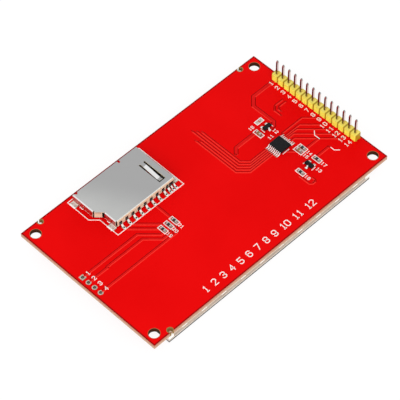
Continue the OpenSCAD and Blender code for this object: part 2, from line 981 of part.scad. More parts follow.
// Ribbon of the display: ledge, fold, back of the tray, lands on the board's underside
module display_ribbon() {
    end = display_l / 2;
    low = rear_glass_z - ribbon_t / 2;
    back = tape_z + ribbon_t / 2;
    high = board_z - pad_t - ribbon_t / 2;
    out = end + 0.2 + (back - low) / 2;
    color("darkorange")
        strip_xz(
            rounded([
                [cell_l / 2 - 1.2, low], [out, low], [out, back],
                [end - ribbon_reach + 10, back], [end - ribbon_reach + 6, high],
                [end - ribbon_reach - land_l / 2, high],
            ], 0.49 * (back - low), 6),
            ribbon_t, ribbon_w);
}

// Adhesive frame between the touch panel and the display
module touch_bond() {
    color("black")
        translate([0, 0, bond_z])
            difference() {
                slab(display_l, display_w, bond_t);
                translate([-cell_ledge / 2, 0, -1])
                    slab(cell_l - cell_ledge - 1.4, cell_w - 1.4, bond_t + 2);
            }
}

module touch_glass() {
    color("black")
        translate([0, 0, glass_z])
            slab(display_l, display_w, touch_glass_t);
}

// Film whose inner face has a pocket for the end of its ribbon
module touch_film() {
    color("black")
        difference() {
            slab(display_l, display_w, film_t);
            translate([display_l / 2 - 2.5, tail_y - tail_w / 2, film_t - ribbon_t])
                cube([3, tail_w, 1]);
        }
}

module touch_ribbon() {
    end = display_l / 2;
    low = film_t - ribbon_t / 2;
    back = tape_z + ribbon_t / 2;
    high = board_z - pad_t - ribbon_t / 2;
    color("darkorange")
        translate([0, tail_y, 0])
            strip_xz(
                rounded([
                    [end - 2.5, low], [end + 1, low], [end + 1, back],
                    [end - tail_reach + 9, back], [end - tail_reach + 5, high],
                    [end - tail_reach - land_l / 2, high],
                ], 0.7, 6),
                ribbon_t, tail_w);
}

// ---------------------------------------------------------------- the nodes

pcb();
component_pads();
plated_holes();
header_housing();
header_solder();
header_pin(1);  // header_pin_1
header_pin(2);  // header_pin_2
header_pin(3);  // header_pin_3
header_pin(4);  // header_pin_4
header_pin(5);  // header_pin_5
header_pin(6);  // header_pin_6
header_pin(7);  // header_pin_7
header_pin(8);  // header_pin_8
header_pin(9);  // header_pin_9
header_pin(10);  // header_pin_10
header_pin(11);  // header_pin_11
header_pin(12);  // header_pin_12
header_pin(13);  // header_pin_13
header_pin(14);  // header_pin_14
card_socket_cover();
card_socket_base();
card_switch();
card_contact(1);  // card_contact_1
card_contact(2);  // card_contact_2
card_contact(3);  // card_contact_3
card_contact(4);  // card_contact_4
card_contact(5);  // card_contact_5
card_contact(6);  // card_contact_6
card_contact(7);  // card_contact_7
card_contact(8);  // card_contact_8
card_contact(9);  // card_contact_9
touch_controller();
touch_controller_leads();
regulator();
regulator_leads();
transistor();
transistor_leads();
resistor(1);  // resistor_1
resistor(2);  // resistor_2
resistor(3);  // resistor_3
resistor(4);  // resistor_4
resistor(5);  // resistor_5
resistor(6);  // resistor_6
capacitor(1);  // capacitor_1
capacitor(2);  // capacitor_2
mounting_tape();
display_tray();
backlight_frame();
reflector();
light_guide();
led_strip();
diffuser();
cell_rear_glass();
cell_front_glass();
driver_chip();
display_ribbon();
touch_bond();
touch_glass();
touch_film();
touch_ribbon();
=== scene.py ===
"""Looks of a serial touch display module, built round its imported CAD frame.

The CAD nodes keep their shapes and take procedural finishes here. This file adds what is too thin for
them: the tracks under the solder mask, the vias, the printed legend and the solder at each joint.
Lengths are millimetres until a mesh is handed to Blender, and places come from the frame's nodes.
"""

import json
import logging
import math
from collections.abc import Callable, Sequence
from dataclasses import dataclass, field
from enum import Enum

import bpy
from mathutils import Matrix, Vector


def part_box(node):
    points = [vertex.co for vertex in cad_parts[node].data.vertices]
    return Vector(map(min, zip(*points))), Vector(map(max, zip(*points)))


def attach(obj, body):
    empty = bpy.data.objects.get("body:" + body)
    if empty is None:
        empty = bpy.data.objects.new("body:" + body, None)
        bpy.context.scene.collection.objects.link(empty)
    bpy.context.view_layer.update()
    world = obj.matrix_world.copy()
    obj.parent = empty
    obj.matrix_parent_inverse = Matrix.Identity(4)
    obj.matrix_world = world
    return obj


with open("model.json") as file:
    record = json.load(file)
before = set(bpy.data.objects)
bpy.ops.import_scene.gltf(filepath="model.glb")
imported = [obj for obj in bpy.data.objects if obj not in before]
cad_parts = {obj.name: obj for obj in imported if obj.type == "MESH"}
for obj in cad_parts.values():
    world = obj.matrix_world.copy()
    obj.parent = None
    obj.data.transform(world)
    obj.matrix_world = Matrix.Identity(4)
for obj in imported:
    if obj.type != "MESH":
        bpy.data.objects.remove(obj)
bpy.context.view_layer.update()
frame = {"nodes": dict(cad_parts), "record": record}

LOG = logging.getLogger("display_module")
MM = 0.001
BODY = "root"
# Spacing of the header's pins and of the card header's holes
PITCH = 2.54

Point = tuple[float, float]
Colour = tuple[float, float, float, float]
Tree = bpy.types.NodeTree
Socket = bpy.types.NodeSocket


# ---------------------------------------------------------------- small tools


def linear(colour: str) -> Colour:
    """Turns an sRGB hex colour into linear light.

    Args:
        colour: Six hex digits after a hash.

    Returns:
        Red, green, blue and an alpha of 1.
    """
    parts = [int(colour[i : i + 2], 16) / 255 for i in (1, 3, 5)]
    light = [c / 12.92 if c <= 0.04045 else ((c + 0.055) / 1.055) ** 2.4 for c in parts]
    return (*light, 1.0)


def add_node(
    tree: Tree,
    kind: str,
    settings: dict[str | int, object] | None = None,
    links: dict[str | int, Socket] | None = None,
) -> bpy.types.Node:
    """Adds a node to a material.

    Args:
        tree: The material's node tree.
        kind: Blender's name for the node's type.
        settings: Properties of the node, and values of its inputs by name or number.
        links: Sockets that feed its inputs, by the input's name or number.

    Returns:
        The new node.
    """
    node = tree.nodes.new(kind)
    for key, value in (settings or {}).items():
        if isinstance(key, str) and hasattr(node, key):
            setattr(node, key, value)
        else:
            node.inputs[key].default_value = value
    for key, socket in (links or {}).items():
        tree.links.new(socket, node.inputs[key])
    return node


def box_mm(node: str) -> tuple[Vector, Vector]:
    """Lowest and highest corner of a CAD node, in millimetres."""
    low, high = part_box(node)
    return low / MM, high / MM


def centre_mm(node: str) -> Vector:
    """Middle of a CAD node's box, in millimetres."""
    low, high = box_mm(node)
    return (low + high) / 2


# ---------------------------------------------------------------- finishes


# Blender's names for the nodes used here
MATH = "ShaderNodeMath"
VECTOR = "ShaderNodeVectorMath"
NOISE = "ShaderNodeTexNoise"
RAMP = "ShaderNodeValToRGB"
RANGE = "ShaderNodeMapRange"
MIX = "ShaderNodeMix"
BUMP = "ShaderNodeBump"
BEVEL = "ShaderNodeBevel"
PLACE = "ShaderNodeTexCoord"
SPLIT = "ShaderNodeSeparateXYZ"
FACING = "ShaderNodeNewGeometry"
RAYS = "ShaderNodeLightPath"
SHADER_MIX = "ShaderNodeMixShader"
DIFFUSE = "ShaderNodeBsdfDiffuse"

# Most of a noise falls between these values
NOISE_REACH = (0.3, 0.7)
# A face counts as level where at least this share of its normal points up or down
LEVEL_SHARE = 0.5


class Axis(Enum):
    """Direction that a grain or a row of tracks runs in."""

    X = 0
    Y = 1
    Z = 2


class Space(Enum):
    """Coordinates that a finish is drawn in."""

    FRAME = "Object"
    OWN_BOX = "Generated"


class Side(Enum):
    """Sides of the module that a wall can face."""

    LEFT = (-1.0, 0.0, 0.0)
    FRONT = (0.0, -1.0, 0.0)
    LEFT_FRONT = (-math.sqrt(0.5), -math.sqrt(0.5), 0.0)


def coated(tree: Tree, under: Socket, *coats: tuple[Socket, str]) -> Socket:
    """Lays tones over a colour, one on another.

    Args:
        tree: The material's node tree.
        under: The colour below them.
        *coats: The cover of each, from 0 for none to 1 for all, and its tone as hex.

    Returns:
        The colour socket.
    """
    for cover, tone in coats:
        coat = {"data_type": "RGBA", "B": linear(tone)}
        under = add_node(tree, MIX, coat, {"Factor": cover, "A": under}).outputs["Result"]
    return under


def mottled(tree: Tree, place: Socket, scale: float, tones: tuple[str, str], reach: Point) -> Socket:
    """Mixes two tones in soft patches.

    Args:
        tree: The material's node tree.
        place: Coordinates that the patches follow.
        scale: Patches in one unit of them.
        tones: Both tones, as hex.
        reach: Values of the noise that give the first tone alone and the second alone.

    Returns:
        The colour socket.
    """
    noise = add_node(tree, NOISE, {"Scale": scale, "Detail": 2.0}, {"Vector": place})
    ramp = add_node(tree, RAMP, links={"Fac": noise.outputs["Fac"]})
    for i, (at, tone) in enumerate(zip(reach, tones)):
        ramp.color_ramp.elements[i].position = at
        ramp.color_ramp.elements[i].color = linear(tone)
    return ramp.outputs["Color"]


def place_along(tree: Tree, axis: Axis, space: Space = Space.FRAME) -> Socket:
    """Finds how far along an axis each point lies.

    Args:
        tree: The material's node tree.
        axis: The axis.
        space: The frame, in metres, or the node's own box, in shares of it.

    Returns:
        The distance socket.
    """
    place = add_node(tree, PLACE)
    return add_node(tree, SPLIT, links={"Vector": place.outputs[space.value]}).outputs[axis.name]


def leaning(tree: Tree, side: Side, least: float) -> Socket:
    """Finds the faces that lean to one side.

    Args:
        tree: The material's node tree.
        side: The side.
        least: Smallest share of their normal that points there.

    Returns:
        1 on such faces, 0 elsewhere.
    """
    facing = add_node(tree, FACING)
    share = add_node(
        tree, VECTOR, {"operation": "DOT_PRODUCT", 1: side.value}, {0: facing.outputs["True Normal"]}
    )
    lean = add_node(tree, MATH, {"operation": "GREATER_THAN", 1: least}, {0: share.outputs["Value"]})
    return lean.outputs["Value"]


def upright(tree: Tree) -> Socket:
    """Finds the walls.

    Args:
        tree: The material's node tree.

    Returns:
        1 on walls, 0 on level faces.
    """
    facing = add_node(tree, FACING)
    tilt = add_node(tree, SPLIT, links={"Vector": facing.outputs["True Normal"]})
    level = add_node(tree, MATH, {"operation": "ABSOLUTE"}, {0: tilt.outputs["Z"]})
    wall = add_node(tree, MATH, {"operation": "LESS_THAN", 1: LEVEL_SHARE}, {0: level.outputs["Value"]})
    return wall.outputs["Value"]


@dataclass(frozen=True)
class Finish:
    """A plain moulded or coated surface: two close tones in soft patches and a fine grain.

    Real grain on these parts is 0.01 to 0.05 mm wide. It is drawn 0.1 to 2 mm wide, as coarse as it
    has to be to show.
    """

    name: str
    tone: str
    second_tone: str
    roughness: float = 0.5
    metallic: float = 0.0
    specular: float = 0.5
    patch_mm: float = 3.0
    patch_reach: Point = (0.35, 0.65)
    grain_mm: float = 0.4
    grain_height_mm: float = 0.004
    # Tone painted on the walls as shade, where a finish has one
    wall_tone: str = ""

    def material(self) -> bpy.types.Material:
        """Finds the Blender material of this finish, or makes it at its first use.

        Returns:
            The material.
        """
        made = bpy.data.materials.get(self.name)
        if made is None:
            made = bpy.data.materials.new(self.name)
            made.use_nodes = True
            tree = made.node_tree
            shader = tree.nodes["Principled BSDF"]
            shader.inputs["Metallic"].default_value = self.metallic
            shader.inputs["Roughness"].default_value = self.roughness
            shader.inputs["Specular IOR Level"].default_value = self.specular
            tree.links.new(self.colour(tree), shader.inputs["Base Color"])
            self.work(tree, shader)
        return made

    def tones(self, tree: Tree) -> Socket:
        """Mixes the two close tones by soft noise.

        Args:
            tree: The material's node tree.

        Returns:
            The colour socket.
        """
        place = add_node(tree, PLACE).outputs["Object"]
        tones = (self.tone, self.second_tone)
        return mottled(tree, place, 1 / (self.patch_mm * MM), tones, self.patch_reach)

    def colour(self, tree: Tree) -> Socket:
        """Colours the surface, with the walls in a painted shade tone of their own where the finish has
        one.

        Args:
            tree: The material's node tree.

        Returns:
            The colour socket.
        """
        level = self.tones(tree)
        if not self.wall_tone:
            return level
        return coated(tree, level, (upright(tree), self.wall_tone))

    def grain(self, tree: Tree) -> Socket:
        """Raises the fine grain.

        Args:
            tree: The material's node tree.

        Returns:
            The normal socket.
        """
        place = add_node(tree, PLACE)
        noise = add_node(
            tree,
            NOISE,
            {"Scale": 1 / (self.grain_mm * MM), "Detail": 3.0},
            {"Vector": place.outputs["Object"]},
        )
        return self.raised(tree, noise.outputs["Fac"])

    def raised(self, tree: Tree, height: Socket) -> Socket:
        """Turns the heights of a grain into a normal.

        Args:
            tree: The material's node tree.
            height: Heights from 0 to 1.

        Returns:
            The normal socket.
        """
        size = {"Strength": 1.0, "Distance": self.grain_height_mm * MM}
        return add_node(tree, BUMP, size, {"Height": height}).outputs["Normal"]

    def work(self, tree: Tree, shader: bpy.types.Node) -> None:
        """Gives the surface what its making left on it, here the grain."""
        tree.links.new(self.grain(tree), shader.inputs["Normal"])


@dataclass(frozen=True)
class RolledSheet(Finish):
    """Cold-rolled sheet: fine parallel rolling lines that spread a highlight across them.

    Real lines are about 0.02 mm wide. They are drawn 0.12 mm wide, so that they show.
    """

    along: Axis = Axis.X
    line_mm: float = 0.12
    line_length_mm: float = 6.0
    roughness_spread: float = 0.05

    def work(self, tree: Tree, shader: bpy.types.Node) -> None:
        """Wires the rolling lines into roughness and bump.

        Args:
            tree: The material's node tree.
            shader: Its principled shader.
        """
        stretch = [1 / (self.line_mm * MM)] * 3
        stretch[self.along.value] = 1 / (self.line_length_mm * MM)
        place = add_node(tree, PLACE)
        drawn = add_node(
            tree, VECTOR, {"operation": "MULTIPLY", 1: stretch}, {0: place.outputs["Object"]}
        ).outputs["Vector"]
        lines = add_node(tree, NOISE, {"Scale": 1.0, "Detail": 2.0}, {"Vector": drawn})
        rough = add_node(
            tree,
            RANGE,
            {
                "From Min": NOISE_REACH[0],
                "From Max": NOISE_REACH[1],
                "To Min": self.roughness - self.roughness_spread,
                "To Max": self.roughness + self.roughness_spread,
            },
            {"Value": lines.outputs["Fac"]},
        )
        tree.links.new(rough.outputs["Result"], shader.inputs["Roughness"])
        tree.links.new(self.raised(tree, lines.outputs["Fac"]), shader.inputs["Normal"])


@dataclass(frozen=True)
class StampedCover(RolledSheet):
    """Stamped cover: a sheet painted darker towards one corner as a dimmer reflection, painted
    highlights on its folds, a painted red reflection of the board on its left walls, and dull front
    walls painted in a warm lit tone.
    """

    # Painted light: a dimmer reflection towards one corner, highlights on the folds, the board's red
    # reflection on the left walls and a warm lit tone on the front walls
    far_tone: str = "#B9B9B9"
    drift: Point = (0.08, 0.7)
    skew: float = 0.28
    fold_tone: str = "#FFFFFF"
    fold_lean: float = 0.05
    mouth_tone: str = "#D8807A"
    mouth_lean: float = 0.9
    front_tone: str = "#DCCDB0"
    front_lean: float = 0.4
    wetted_tone: str = "#DCD4CA"
    wetted_mm: float = 0.45
    slot_tone: str = "#D9C49C"
    slot_from_mm: float = -9.0
    dull_metallic: float = 0.1

    def colour(self, tree: Tree) -> Socket:
        """Colours the sheet with its painted darker corner, its folds and walls with painted highlight,
        reflection and lit tones, its feet and the edges of the spring's slot.

        Args:
            tree: The material's node tree.

        Returns:
            The colour socket.
        """
        place = add_node(tree, PLACE)
        slant = add_node(
            tree,
            VECTOR,
            {"operation": "DOT_PRODUCT", 1: (1.0, self.skew, 0.0)},
            {0: place.outputs["Generated"]},
        )
        # Painted reflection: the sheet darkens towards its far corner
        far = add_node(
            tree,
            RANGE,
            {"interpolation_type": "SMOOTHSTEP", "From Min": self.drift[0], "From Max": self.drift[1]},
            {"Value": slant.outputs["Value"]},
        )
        # The folds take a painted highlight, the left walls a painted red reflection of the board and
        # the front walls a painted warm tone for the light they catch
        return coated(
            tree,
            self.tones(tree),
            (far.outputs["Result"], self.far_tone),
            (leaning(tree, Side.LEFT, self.fold_lean), self.fold_tone),
            (leaning(tree, Side.FRONT, self.fold_lean), self.fold_tone),
            (leaning(tree, Side.LEFT, self.mouth_lean), self.mouth_tone),
            (leaning(tree, Side.FRONT, self.front_lean), self.front_tone),
            (self.foot(tree), self.wetted_tone),
            (self.slot_wall(tree), self.slot_tone),
        )

    def foot(self, tree: Tree) -> Socket:
        """Finds the feet, which solder has wetted.

        Args:
            tree: The material's node tree.

        Returns:
            1 on the feet, 0 above them.
        """
        reach = box_mm("pcb")[1].z + self.wetted_mm
        low = add_node(
            tree, MATH, {"operation": "LESS_THAN", 1: reach * MM}, {0: place_along(tree, Axis.Z)}
        )
        return low.outputs["Value"]

    def slot_wall(self, tree: Tree) -> Socket:
        """Finds the cut edges and walls behind the card spring.

        Args:
            tree: The material's node tree.

        Returns:
            1 on them, 0 elsewhere.
        """
        across = place_along(tree, Axis.X)
        far = add_node(tree, MATH, {"operation": "GREATER_THAN", 1: self.slot_from_mm * MM}, {0: across})
        wall = leaning(tree, Side.LEFT, self.mouth_lean)
        both = add_node(tree, MATH, {"operation": "MULTIPLY"}, {0: far.outputs["Value"], 1: wall})
        return both.outputs["Value"]

    def work(self, tree: Tree, shader: bpy.types.Node) -> None:
        """Lets the front walls, the feet and the slot's walls scatter light as well.

        Args:
            tree: The material's node tree.
            shader: Its principled shader.
        """
        super().work(tree, shader)
        dull = leaning(tree, Side.FRONT, self.front_lean)
        for other in (self.foot(tree), self.slot_wall(tree)):
            dull = add_node(tree, MATH, {"operation": "MAXIMUM"}, {0: dull, 1: other}).outputs["Value"]
        bright = add_node(
            tree, RANGE, {"To Min": self.metallic, "To Max": self.dull_metallic}, {"Value": dull}
        )
        tree.links.new(bright.outputs["Result"], shader.inputs["Metallic"])


@dataclass(frozen=True)
class LitShoulder(Finish):
    """Shoulder of a buried track: painted dark as shade on its slope, with a painted highlight on the
    stretches that face left and front, towards the lamp.
    """

    # Painted highlight on the stretches that face the lamp
    lit_tone: str = "#FA3A30"
    lit_from: float = 0.2

    def colour(self, tree: Tree) -> Socket:
        """Paints a highlight on the stretches that face the left and the front at once."""
        lit = leaning(tree, Side.LEFT_FRONT, self.lit_from)
        return coated(tree, self.tones(tree), (lit, self.lit_tone))


@dataclass(frozen=True)
class EdgeDarkGlass(Finish):
    """Cover glass with a pale ground edge, whose foot shows the black print behind its face and a
    painted contact shadow.
    """

    # Black print with a painted contact shadow at the foot of the edge
    print_tone: str = "#171412"
    print_mm: float = 0.58

    def colour(self, tree: Tree) -> Socket:
        """Darkens the lowest part of the edge, for the black print and a painted contact shadow.

        Args:
            tree: The material's node tree.

        Returns:
            The colour socket.
        """
        low = add_node(
            tree, MATH, {"operation": "LESS_THAN", 1: self.print_mm * MM}, {0: place_along(tree, Axis.Z)}
        )
        return coated(tree, self.tones(tree), (low.outputs["Value"], self.print_tone))


@dataclass(frozen=True)
class FoldedTray(RolledSheet):
    """Drawn tray: a painted highlight where its walls roll into the back."""

    # Painted highlight along the fold
    fold_tone: str = "#F4E8D6"
    fold_mm: float = 1.15
    fold_full: float = 0.7

    def colour(self, tree: Tree) -> Socket:
        """Paints a highlight band along the fold.

        Args:
            tree: The material's node tree.

        Returns:
            The colour socket.
        """
        top = box_mm("display_tray")[1].z
        # Painted highlight: a band just below the top of the walls
        fold_highlight_band = add_node(
            tree,
            RANGE,
            {
                "interpolation_type": "SMOOTHSTEP",
                "From Min": (top - self.fold_mm) * MM,
                "From Max": (top - self.fold_full * self.fold_mm) * MM,
            },
            {"Value": place_along(tree, Axis.Z)},
        )
        return coated(tree, self.tones(tree), (fold_highlight_band.outputs["Result"], self.fold_tone))


@dataclass(frozen=True)
class RoundedMoulding(Finish):
    """Moulded thermoplastic whose edges left the tool slightly round, and so catch a thin light."""

    edge_mm: float = 0.1

    def work(self, tree: Tree, shader: bpy.types.Node) -> None:
        """Adds the round edges below the grain.

        Args:
            tree: The material's node tree.
            shader: Its principled shader.
        """
        super().work(tree, shader)
        edge = add_node(tree, BEVEL, {"samples": 6, "Radius": self.edge_mm * MM})
        grain = shader.inputs["Normal"].links[0].from_node
        tree.links.new(edge.outputs["Normal"], grain.inputs["Normal"])


@dataclass(frozen=True)
class HeaderMoulding(RoundedMoulding):
    """Pin strip moulding, with painted shade down each snap-off groove, and painted greener on its board
    side to offset the red light that the board throws on it.
    """

    # A tone painted on the board side to offset the board's red light, and painted shade in the grooves
    side_tone: str = "#EEF05A"
    side_lean: float = 0.5
    groove_tone: str = "#B2941C"
    groove_mm: float = 0.4
    groove_full: float = 0.4

    def colour(self, tree: Tree) -> Socket:
        """Tints the board side against the board's red light, and paints shade into the grooves between
        the positions.

        Args:
            tree: The material's node tree.

        Returns:
            The colour socket.
        """
        first = centre_mm("header_pin_1").y + PITCH / 2
        steps = add_node(
            tree,
            RANGE,
            {"clamp": False, "From Min": first * MM, "From Max": (first + PITCH) * MM},
            {"Value": place_along(tree, Axis.Y)},
        )
        off = add_node(tree, MATH, {"operation": "PINGPONG", 1: 0.5}, {0: steps.outputs["Result"]})
        # Painted shade down each groove
        groove_shade = add_node(
            tree,
            RANGE,
            {
                "interpolation_type": "SMOOTHSTEP",
                "From Min": self.groove_full * self.groove_mm / PITCH,
                "From Max": self.groove_mm / PITCH,
                "To Min": 1.0,
                "To Max": 0.0,
            },
            {"Value": off.outputs["Value"]},
        )
        side = (leaning(tree, Side.LEFT, self.side_lean), self.side_tone)
        return coated(tree, self.tones(tree), side, (groove_shade.outputs["Result"], self.groove_tone))


@dataclass(frozen=True)
class SolderMask(Finish):
    """Glass-epoxy laminate under red solder mask: ink on both faces, bare cloth at the routed edges.

    The ink stops just short of every drilled hole and is drawn darker along the board's edges. The
    mounting holes' bores are painted dark as shade. The three tooling holes have a tan ring round them,
    and their bores are painted the same lighter tan in place of the shade that falls there. The laminate
    is 1.6 mm thick, in eight plies of 0.2 mm.
    """

    edge_tone: str = "#9A0806"
    edge_mm: float = 0.62
    edge_full: float = 0.4
    rim_tone: str = "#A06A44"
    # Painted shade in the mounting holes' bores
    bore_tone: str = "#4A2A1A"
    rim_mm: float = 0.14
    mounting_at: Point = (46.0, 25.0)
    mounting_r: float = 1.7
    # Tooling holes painted a lighter tan, a ring round them and their bores in place of the shade there
    lining_tone: str = "#96794A"
    lining_mm: float = 0.3
    tooling_inset: Point = (7.0, 0.77)
    tooling_r: float = 0.8
    cloth_tone: str = "#CDAD94"
    cloth_second_tone: str = "#BE9A80"
    cloth_roughness: float = 0.75
    ply_mm: float = 0.2
    strand_mm: float = 1.2
    ply_reach: Point = (0.35, 0.6)
    lip_tone: str = "#BC7460"
    lip_mm: Point = (1.2, 0.2)
    lip_strength: float = 0.75

    def near_holes(self, tree: Tree, plan: Socket, middles: tuple[Point, ...], reach: float) -> Socket:
        """Finds what lies close to some drilled holes.

        Args:
            tree: The material's node tree.
            plan: Place in plan.
            middles: Middles of the holes.
            reach: Largest distance from a middle.

        Returns:
            1 near a hole, 0 elsewhere.
        """
        near = None
        for x, y in middles:
            away = add_node(tree, VECTOR, {"operation": "DISTANCE", 1: (x * MM, y * MM, 0.0)}, {0: plan})
            close = add_node(
                tree, MATH, {"operation": "LESS_THAN", 1: reach * MM}, {0: away.outputs["Value"]}
            )
            if near is not None:
                either = {0: near, 1: close.outputs["Value"]}
                close = add_node(tree, MATH, {"operation": "MAXIMUM"}, either)
            near = close.outputs["Value"]
        return near

    def thin_ink(self, tree: Tree, folded: Socket) -> Socket:
        """Finds a band along the board's edges, which is drawn darker.

        Args:
            tree: The material's node tree.
            folded: Place in plan, folded into one quarter of the board.

        Returns:
            1 at the edges, 0 well inside them.
        """
        corner = box_mm("pcb")[1]
        inside = add_node(
            tree, VECTOR, {"operation": "SUBTRACT", 0: (corner.x * MM, corner.y * MM, 0)}, {1: folded}
        )
        sides = add_node(tree, SPLIT, links={"Vector": inside.outputs["Vector"]}).outputs
        edge = add_node(tree, MATH, {"operation": "MINIMUM"}, {0: sides["X"], 1: sides["Y"]})
        thin = add_node(
            tree,
            RANGE,
            {
                "interpolation_type": "SMOOTHSTEP",
                "From Min": self.edge_full * self.edge_mm * MM,
                "From Max": self.edge_mm * MM,
                "To Min": 1.0,
                "To Max": 0.0,
            },
            {"Value": edge.outputs["Value"]},
        )
        return thin.outputs["Result"]

    def cloth(self, tree: Tree, place: Socket) -> Socket:
        """Draws the plies of glass cloth, thin level lines with a red lip of ink above them.

        Args:
            tree: The material's node tree.
            place: Place on the laminate.

        Returns:
            The colour socket.
        """
        weave = [1 / (self.strand_mm * MM), 1 / (self.strand_mm * MM), 1 / (self.ply_mm * MM)]
        squeezed = add_node(tree, VECTOR, {"operation": "MULTIPLY", 1: weave}, {0: place})
        tones = (self.cloth_second_tone, self.cloth_tone)
        plies = mottled(tree, squeezed.outputs["Vector"], 1.0, tones, self.ply_reach)
        low, high = ((box_mm("pcb")[1].z - below) * MM for below in self.lip_mm)
        lip = add_node(
            tree,
            RANGE,
            {"From Min": low, "From Max": high, "To Max": self.lip_strength},
            {"Value": place_along(tree, Axis.Z)},
        )
        return coated(tree, plies, (lip.outputs["Result"], self.lip_tone))

    def colour(self, tree: Tree) -> Socket:
        """Lays the ink on the faces, leaves the cloth on the walls, bares the holes' rims, paints shade
        into the mounting holes' bores and paints the tooling holes lighter.

        Args:
            tree: The material's node tree.

        Returns:
            The colour socket.
        """
        place = add_node(tree, PLACE).outputs["Object"]
        level = {"operation": "MULTIPLY", 1: (1, 1, 0)}
        flat = add_node(tree, VECTOR, level, {0: place}).outputs["Vector"]
        folded = add_node(tree, VECTOR, {"operation": "ABSOLUTE"}, {0: flat}).outputs["Vector"]
        rim = self.near_holes(tree, folded, (self.mounting_at,), self.mounting_r + self.rim_mm)
        corner = box_mm("pcb")[1]
        x, y = corner.x - self.tooling_inset[0], corner.y - self.tooling_inset[1]
        tooling = ((-x, y), (x, y), (-x, -y))
        # Painted light: the tooling holes and a thin ring round them take a lighter tan
        tooling_spots = self.near_holes(tree, flat, tooling, self.tooling_r + self.lining_mm)
        thin = (self.thin_ink(tree, folded), self.edge_tone)
        ink = coated(tree, self.tones(tree), thin, (rim, self.rim_tone))
        # Painted shade: the walls near the mounting holes are darkened
        walls = coated(tree, self.cloth(tree, place), (rim, self.bore_tone))
        faced = add_node(
            tree, MIX, {"data_type": "RGBA"}, {"Factor": upright(tree), "A": ink, "B": walls}
        )
        return coated(tree, faced.outputs["Result"], (tooling_spots, self.lining_tone))

    def work(self, tree: Tree, shader: bpy.types.Node) -> None:
        """Keeps the gloss on the ink and leaves the cut cloth dull.

        Args:
            tree: The material's node tree.
            shader: Its principled shader.
        """
        super().work(tree, shader)
        span = {"To Min": self.roughness, "To Max": self.cloth_roughness}
        rough = add_node(tree, RANGE, span, {"Value": upright(tree)})
        tree.links.new(rough.outputs["Result"], shader.inputs["Roughness"])


@dataclass(frozen=True)
class CappedChip(Finish):
    """Chip resistor or capacitor: a ceramic block with tinned caps on both ends."""

    cap_tone: str = "#D9D8D2"
    cap_share: float = 0.21

    def cap(self, tree: Tree) -> Socket:
        """Finds both ends of the chip's own box.

        Args:
            tree: The material's node tree.

        Returns:
            1 on the caps, 0 between them.
        """
        along = place_along(tree, Axis.Y, Space.OWN_BOX)
        off = add_node(tree, MATH, {"operation": "SUBTRACT", 1: 0.5}, {0: along})
        far = add_node(tree, MATH, {"operation": "ABSOLUTE"}, {0: off.outputs["Value"]})
        least = 0.5 - self.cap_share
        end = add_node(tree, MATH, {"operation": "GREATER_THAN", 1: least}, {0: far.outputs["Value"]})
        return end.outputs["Value"]

    def colour(self, tree: Tree) -> Socket:
        """Turns both ends to tin."""
        return coated(tree, self.tones(tree), (self.cap(tree), self.cap_tone))

    def work(self, tree: Tree, shader: bpy.types.Node) -> None:
        """Makes the caps metal."""
        super().work(tree, shader)
        tree.links.new(self.cap(tree), shader.inputs["Metallic"])


@dataclass(frozen=True)
class PlatedPin(Finish):
    """Square brass pin with a thin plating, cropped to a grey tip at both ends."""

    # Painted light on the faces that look to the front
    light_tone: str = "#E6D2CE"
    light_lean: float = 0.5
    tip_tone: str = "#A9A7A3"
    tip_mm: float = 0.7
    tip_blend: Point = (1.4, 0.8)

    def colour(self, tree: Tree) -> Socket:
        """Brightens the faces that look to the front with painted light, and greys the tips.

        Args:
            tree: The material's node tree.

        Returns:
            The colour socket.
        """
        low, high = box_mm("header_pin_1")
        middle, reach = (low.z + high.z) / 2, (high.z - low.z) / 2
        height = place_along(tree, Axis.Z)
        off = add_node(tree, MATH, {"operation": "SUBTRACT", 1: middle * MM}, {0: height})
        far = add_node(tree, MATH, {"operation": "ABSOLUTE"}, {0: off.outputs["Value"]})
        start, full = ((reach - share * self.tip_mm) * MM for share in self.tip_blend)
        ends = {"From Min": start, "From Max": full}
        tip = add_node(tree, RANGE, ends, {"Value": far.outputs["Value"]})
        # Painted light on the faces that look to the front
        light = (leaning(tree, Side.FRONT, self.light_lean), self.light_tone)
        return coated(tree, self.tones(tree), light, (tip.outputs["Result"], self.tip_tone))


@dataclass(frozen=True)
class Polyimide(Finish):
    """Flexible circuit: amber film over a row of copper tracks that show through it as paler stripes."""

    track_tone: str = "#C87A2E"
    pitch_mm: float = 0.6
    softness: float = 0.1

    def colour(self, tree: Tree) -> Socket:
        """Draws the tracks along X.

        Args:
            tree: The material's node tree.

        Returns:
            The colour socket.
        """
        turns = math.tau / (self.pitch_mm * MM)
        phase = add_node(tree, MATH, {"operation": "MULTIPLY", 1: turns}, {0: place_along(tree, Axis.Y)})
        wave = add_node(tree, MATH, {"operation": "SINE"}, {0: phase.outputs["Value"]})
        track = add_node(
            tree,
            RANGE,
            {"From Min": -self.softness, "From Max": self.softness},
            {"Value": wave.outputs["Value"]},
        )
        return coated(tree, self.tones(tree), (track.outputs["Result"], self.track_tone))


@dataclass(frozen=True)
class FramedFilm(Finish):
    """Hard-coated touch film: a black printed border round the dark window of the display."""

    window_tone: str = "#343C43"
    window_mm: Point = (73.4, 49.0)

    def colour(self, tree: Tree) -> Socket:
        """Leaves the window unprinted.

        Args:
            tree: The material's node tree.

        Returns:
            The colour socket.
        """
        within = []
        for axis, length in zip((Axis.X, Axis.Y), self.window_mm):
            off = add_node(tree, MATH, {"operation": "ABSOLUTE"}, {0: place_along(tree, axis)})
            near = add_node(
                tree, MATH, {"operation": "LESS_THAN", 1: length / 2 * MM}, {0: off.outputs["Value"]}
            )
            within.append(near.outputs["Value"])
        window = add_node(tree, MATH, {"operation": "MULTIPLY"}, {0: within[0], 1: within[1]})
        return coated(tree, self.tones(tree), (window.outputs["Value"], self.window_tone))


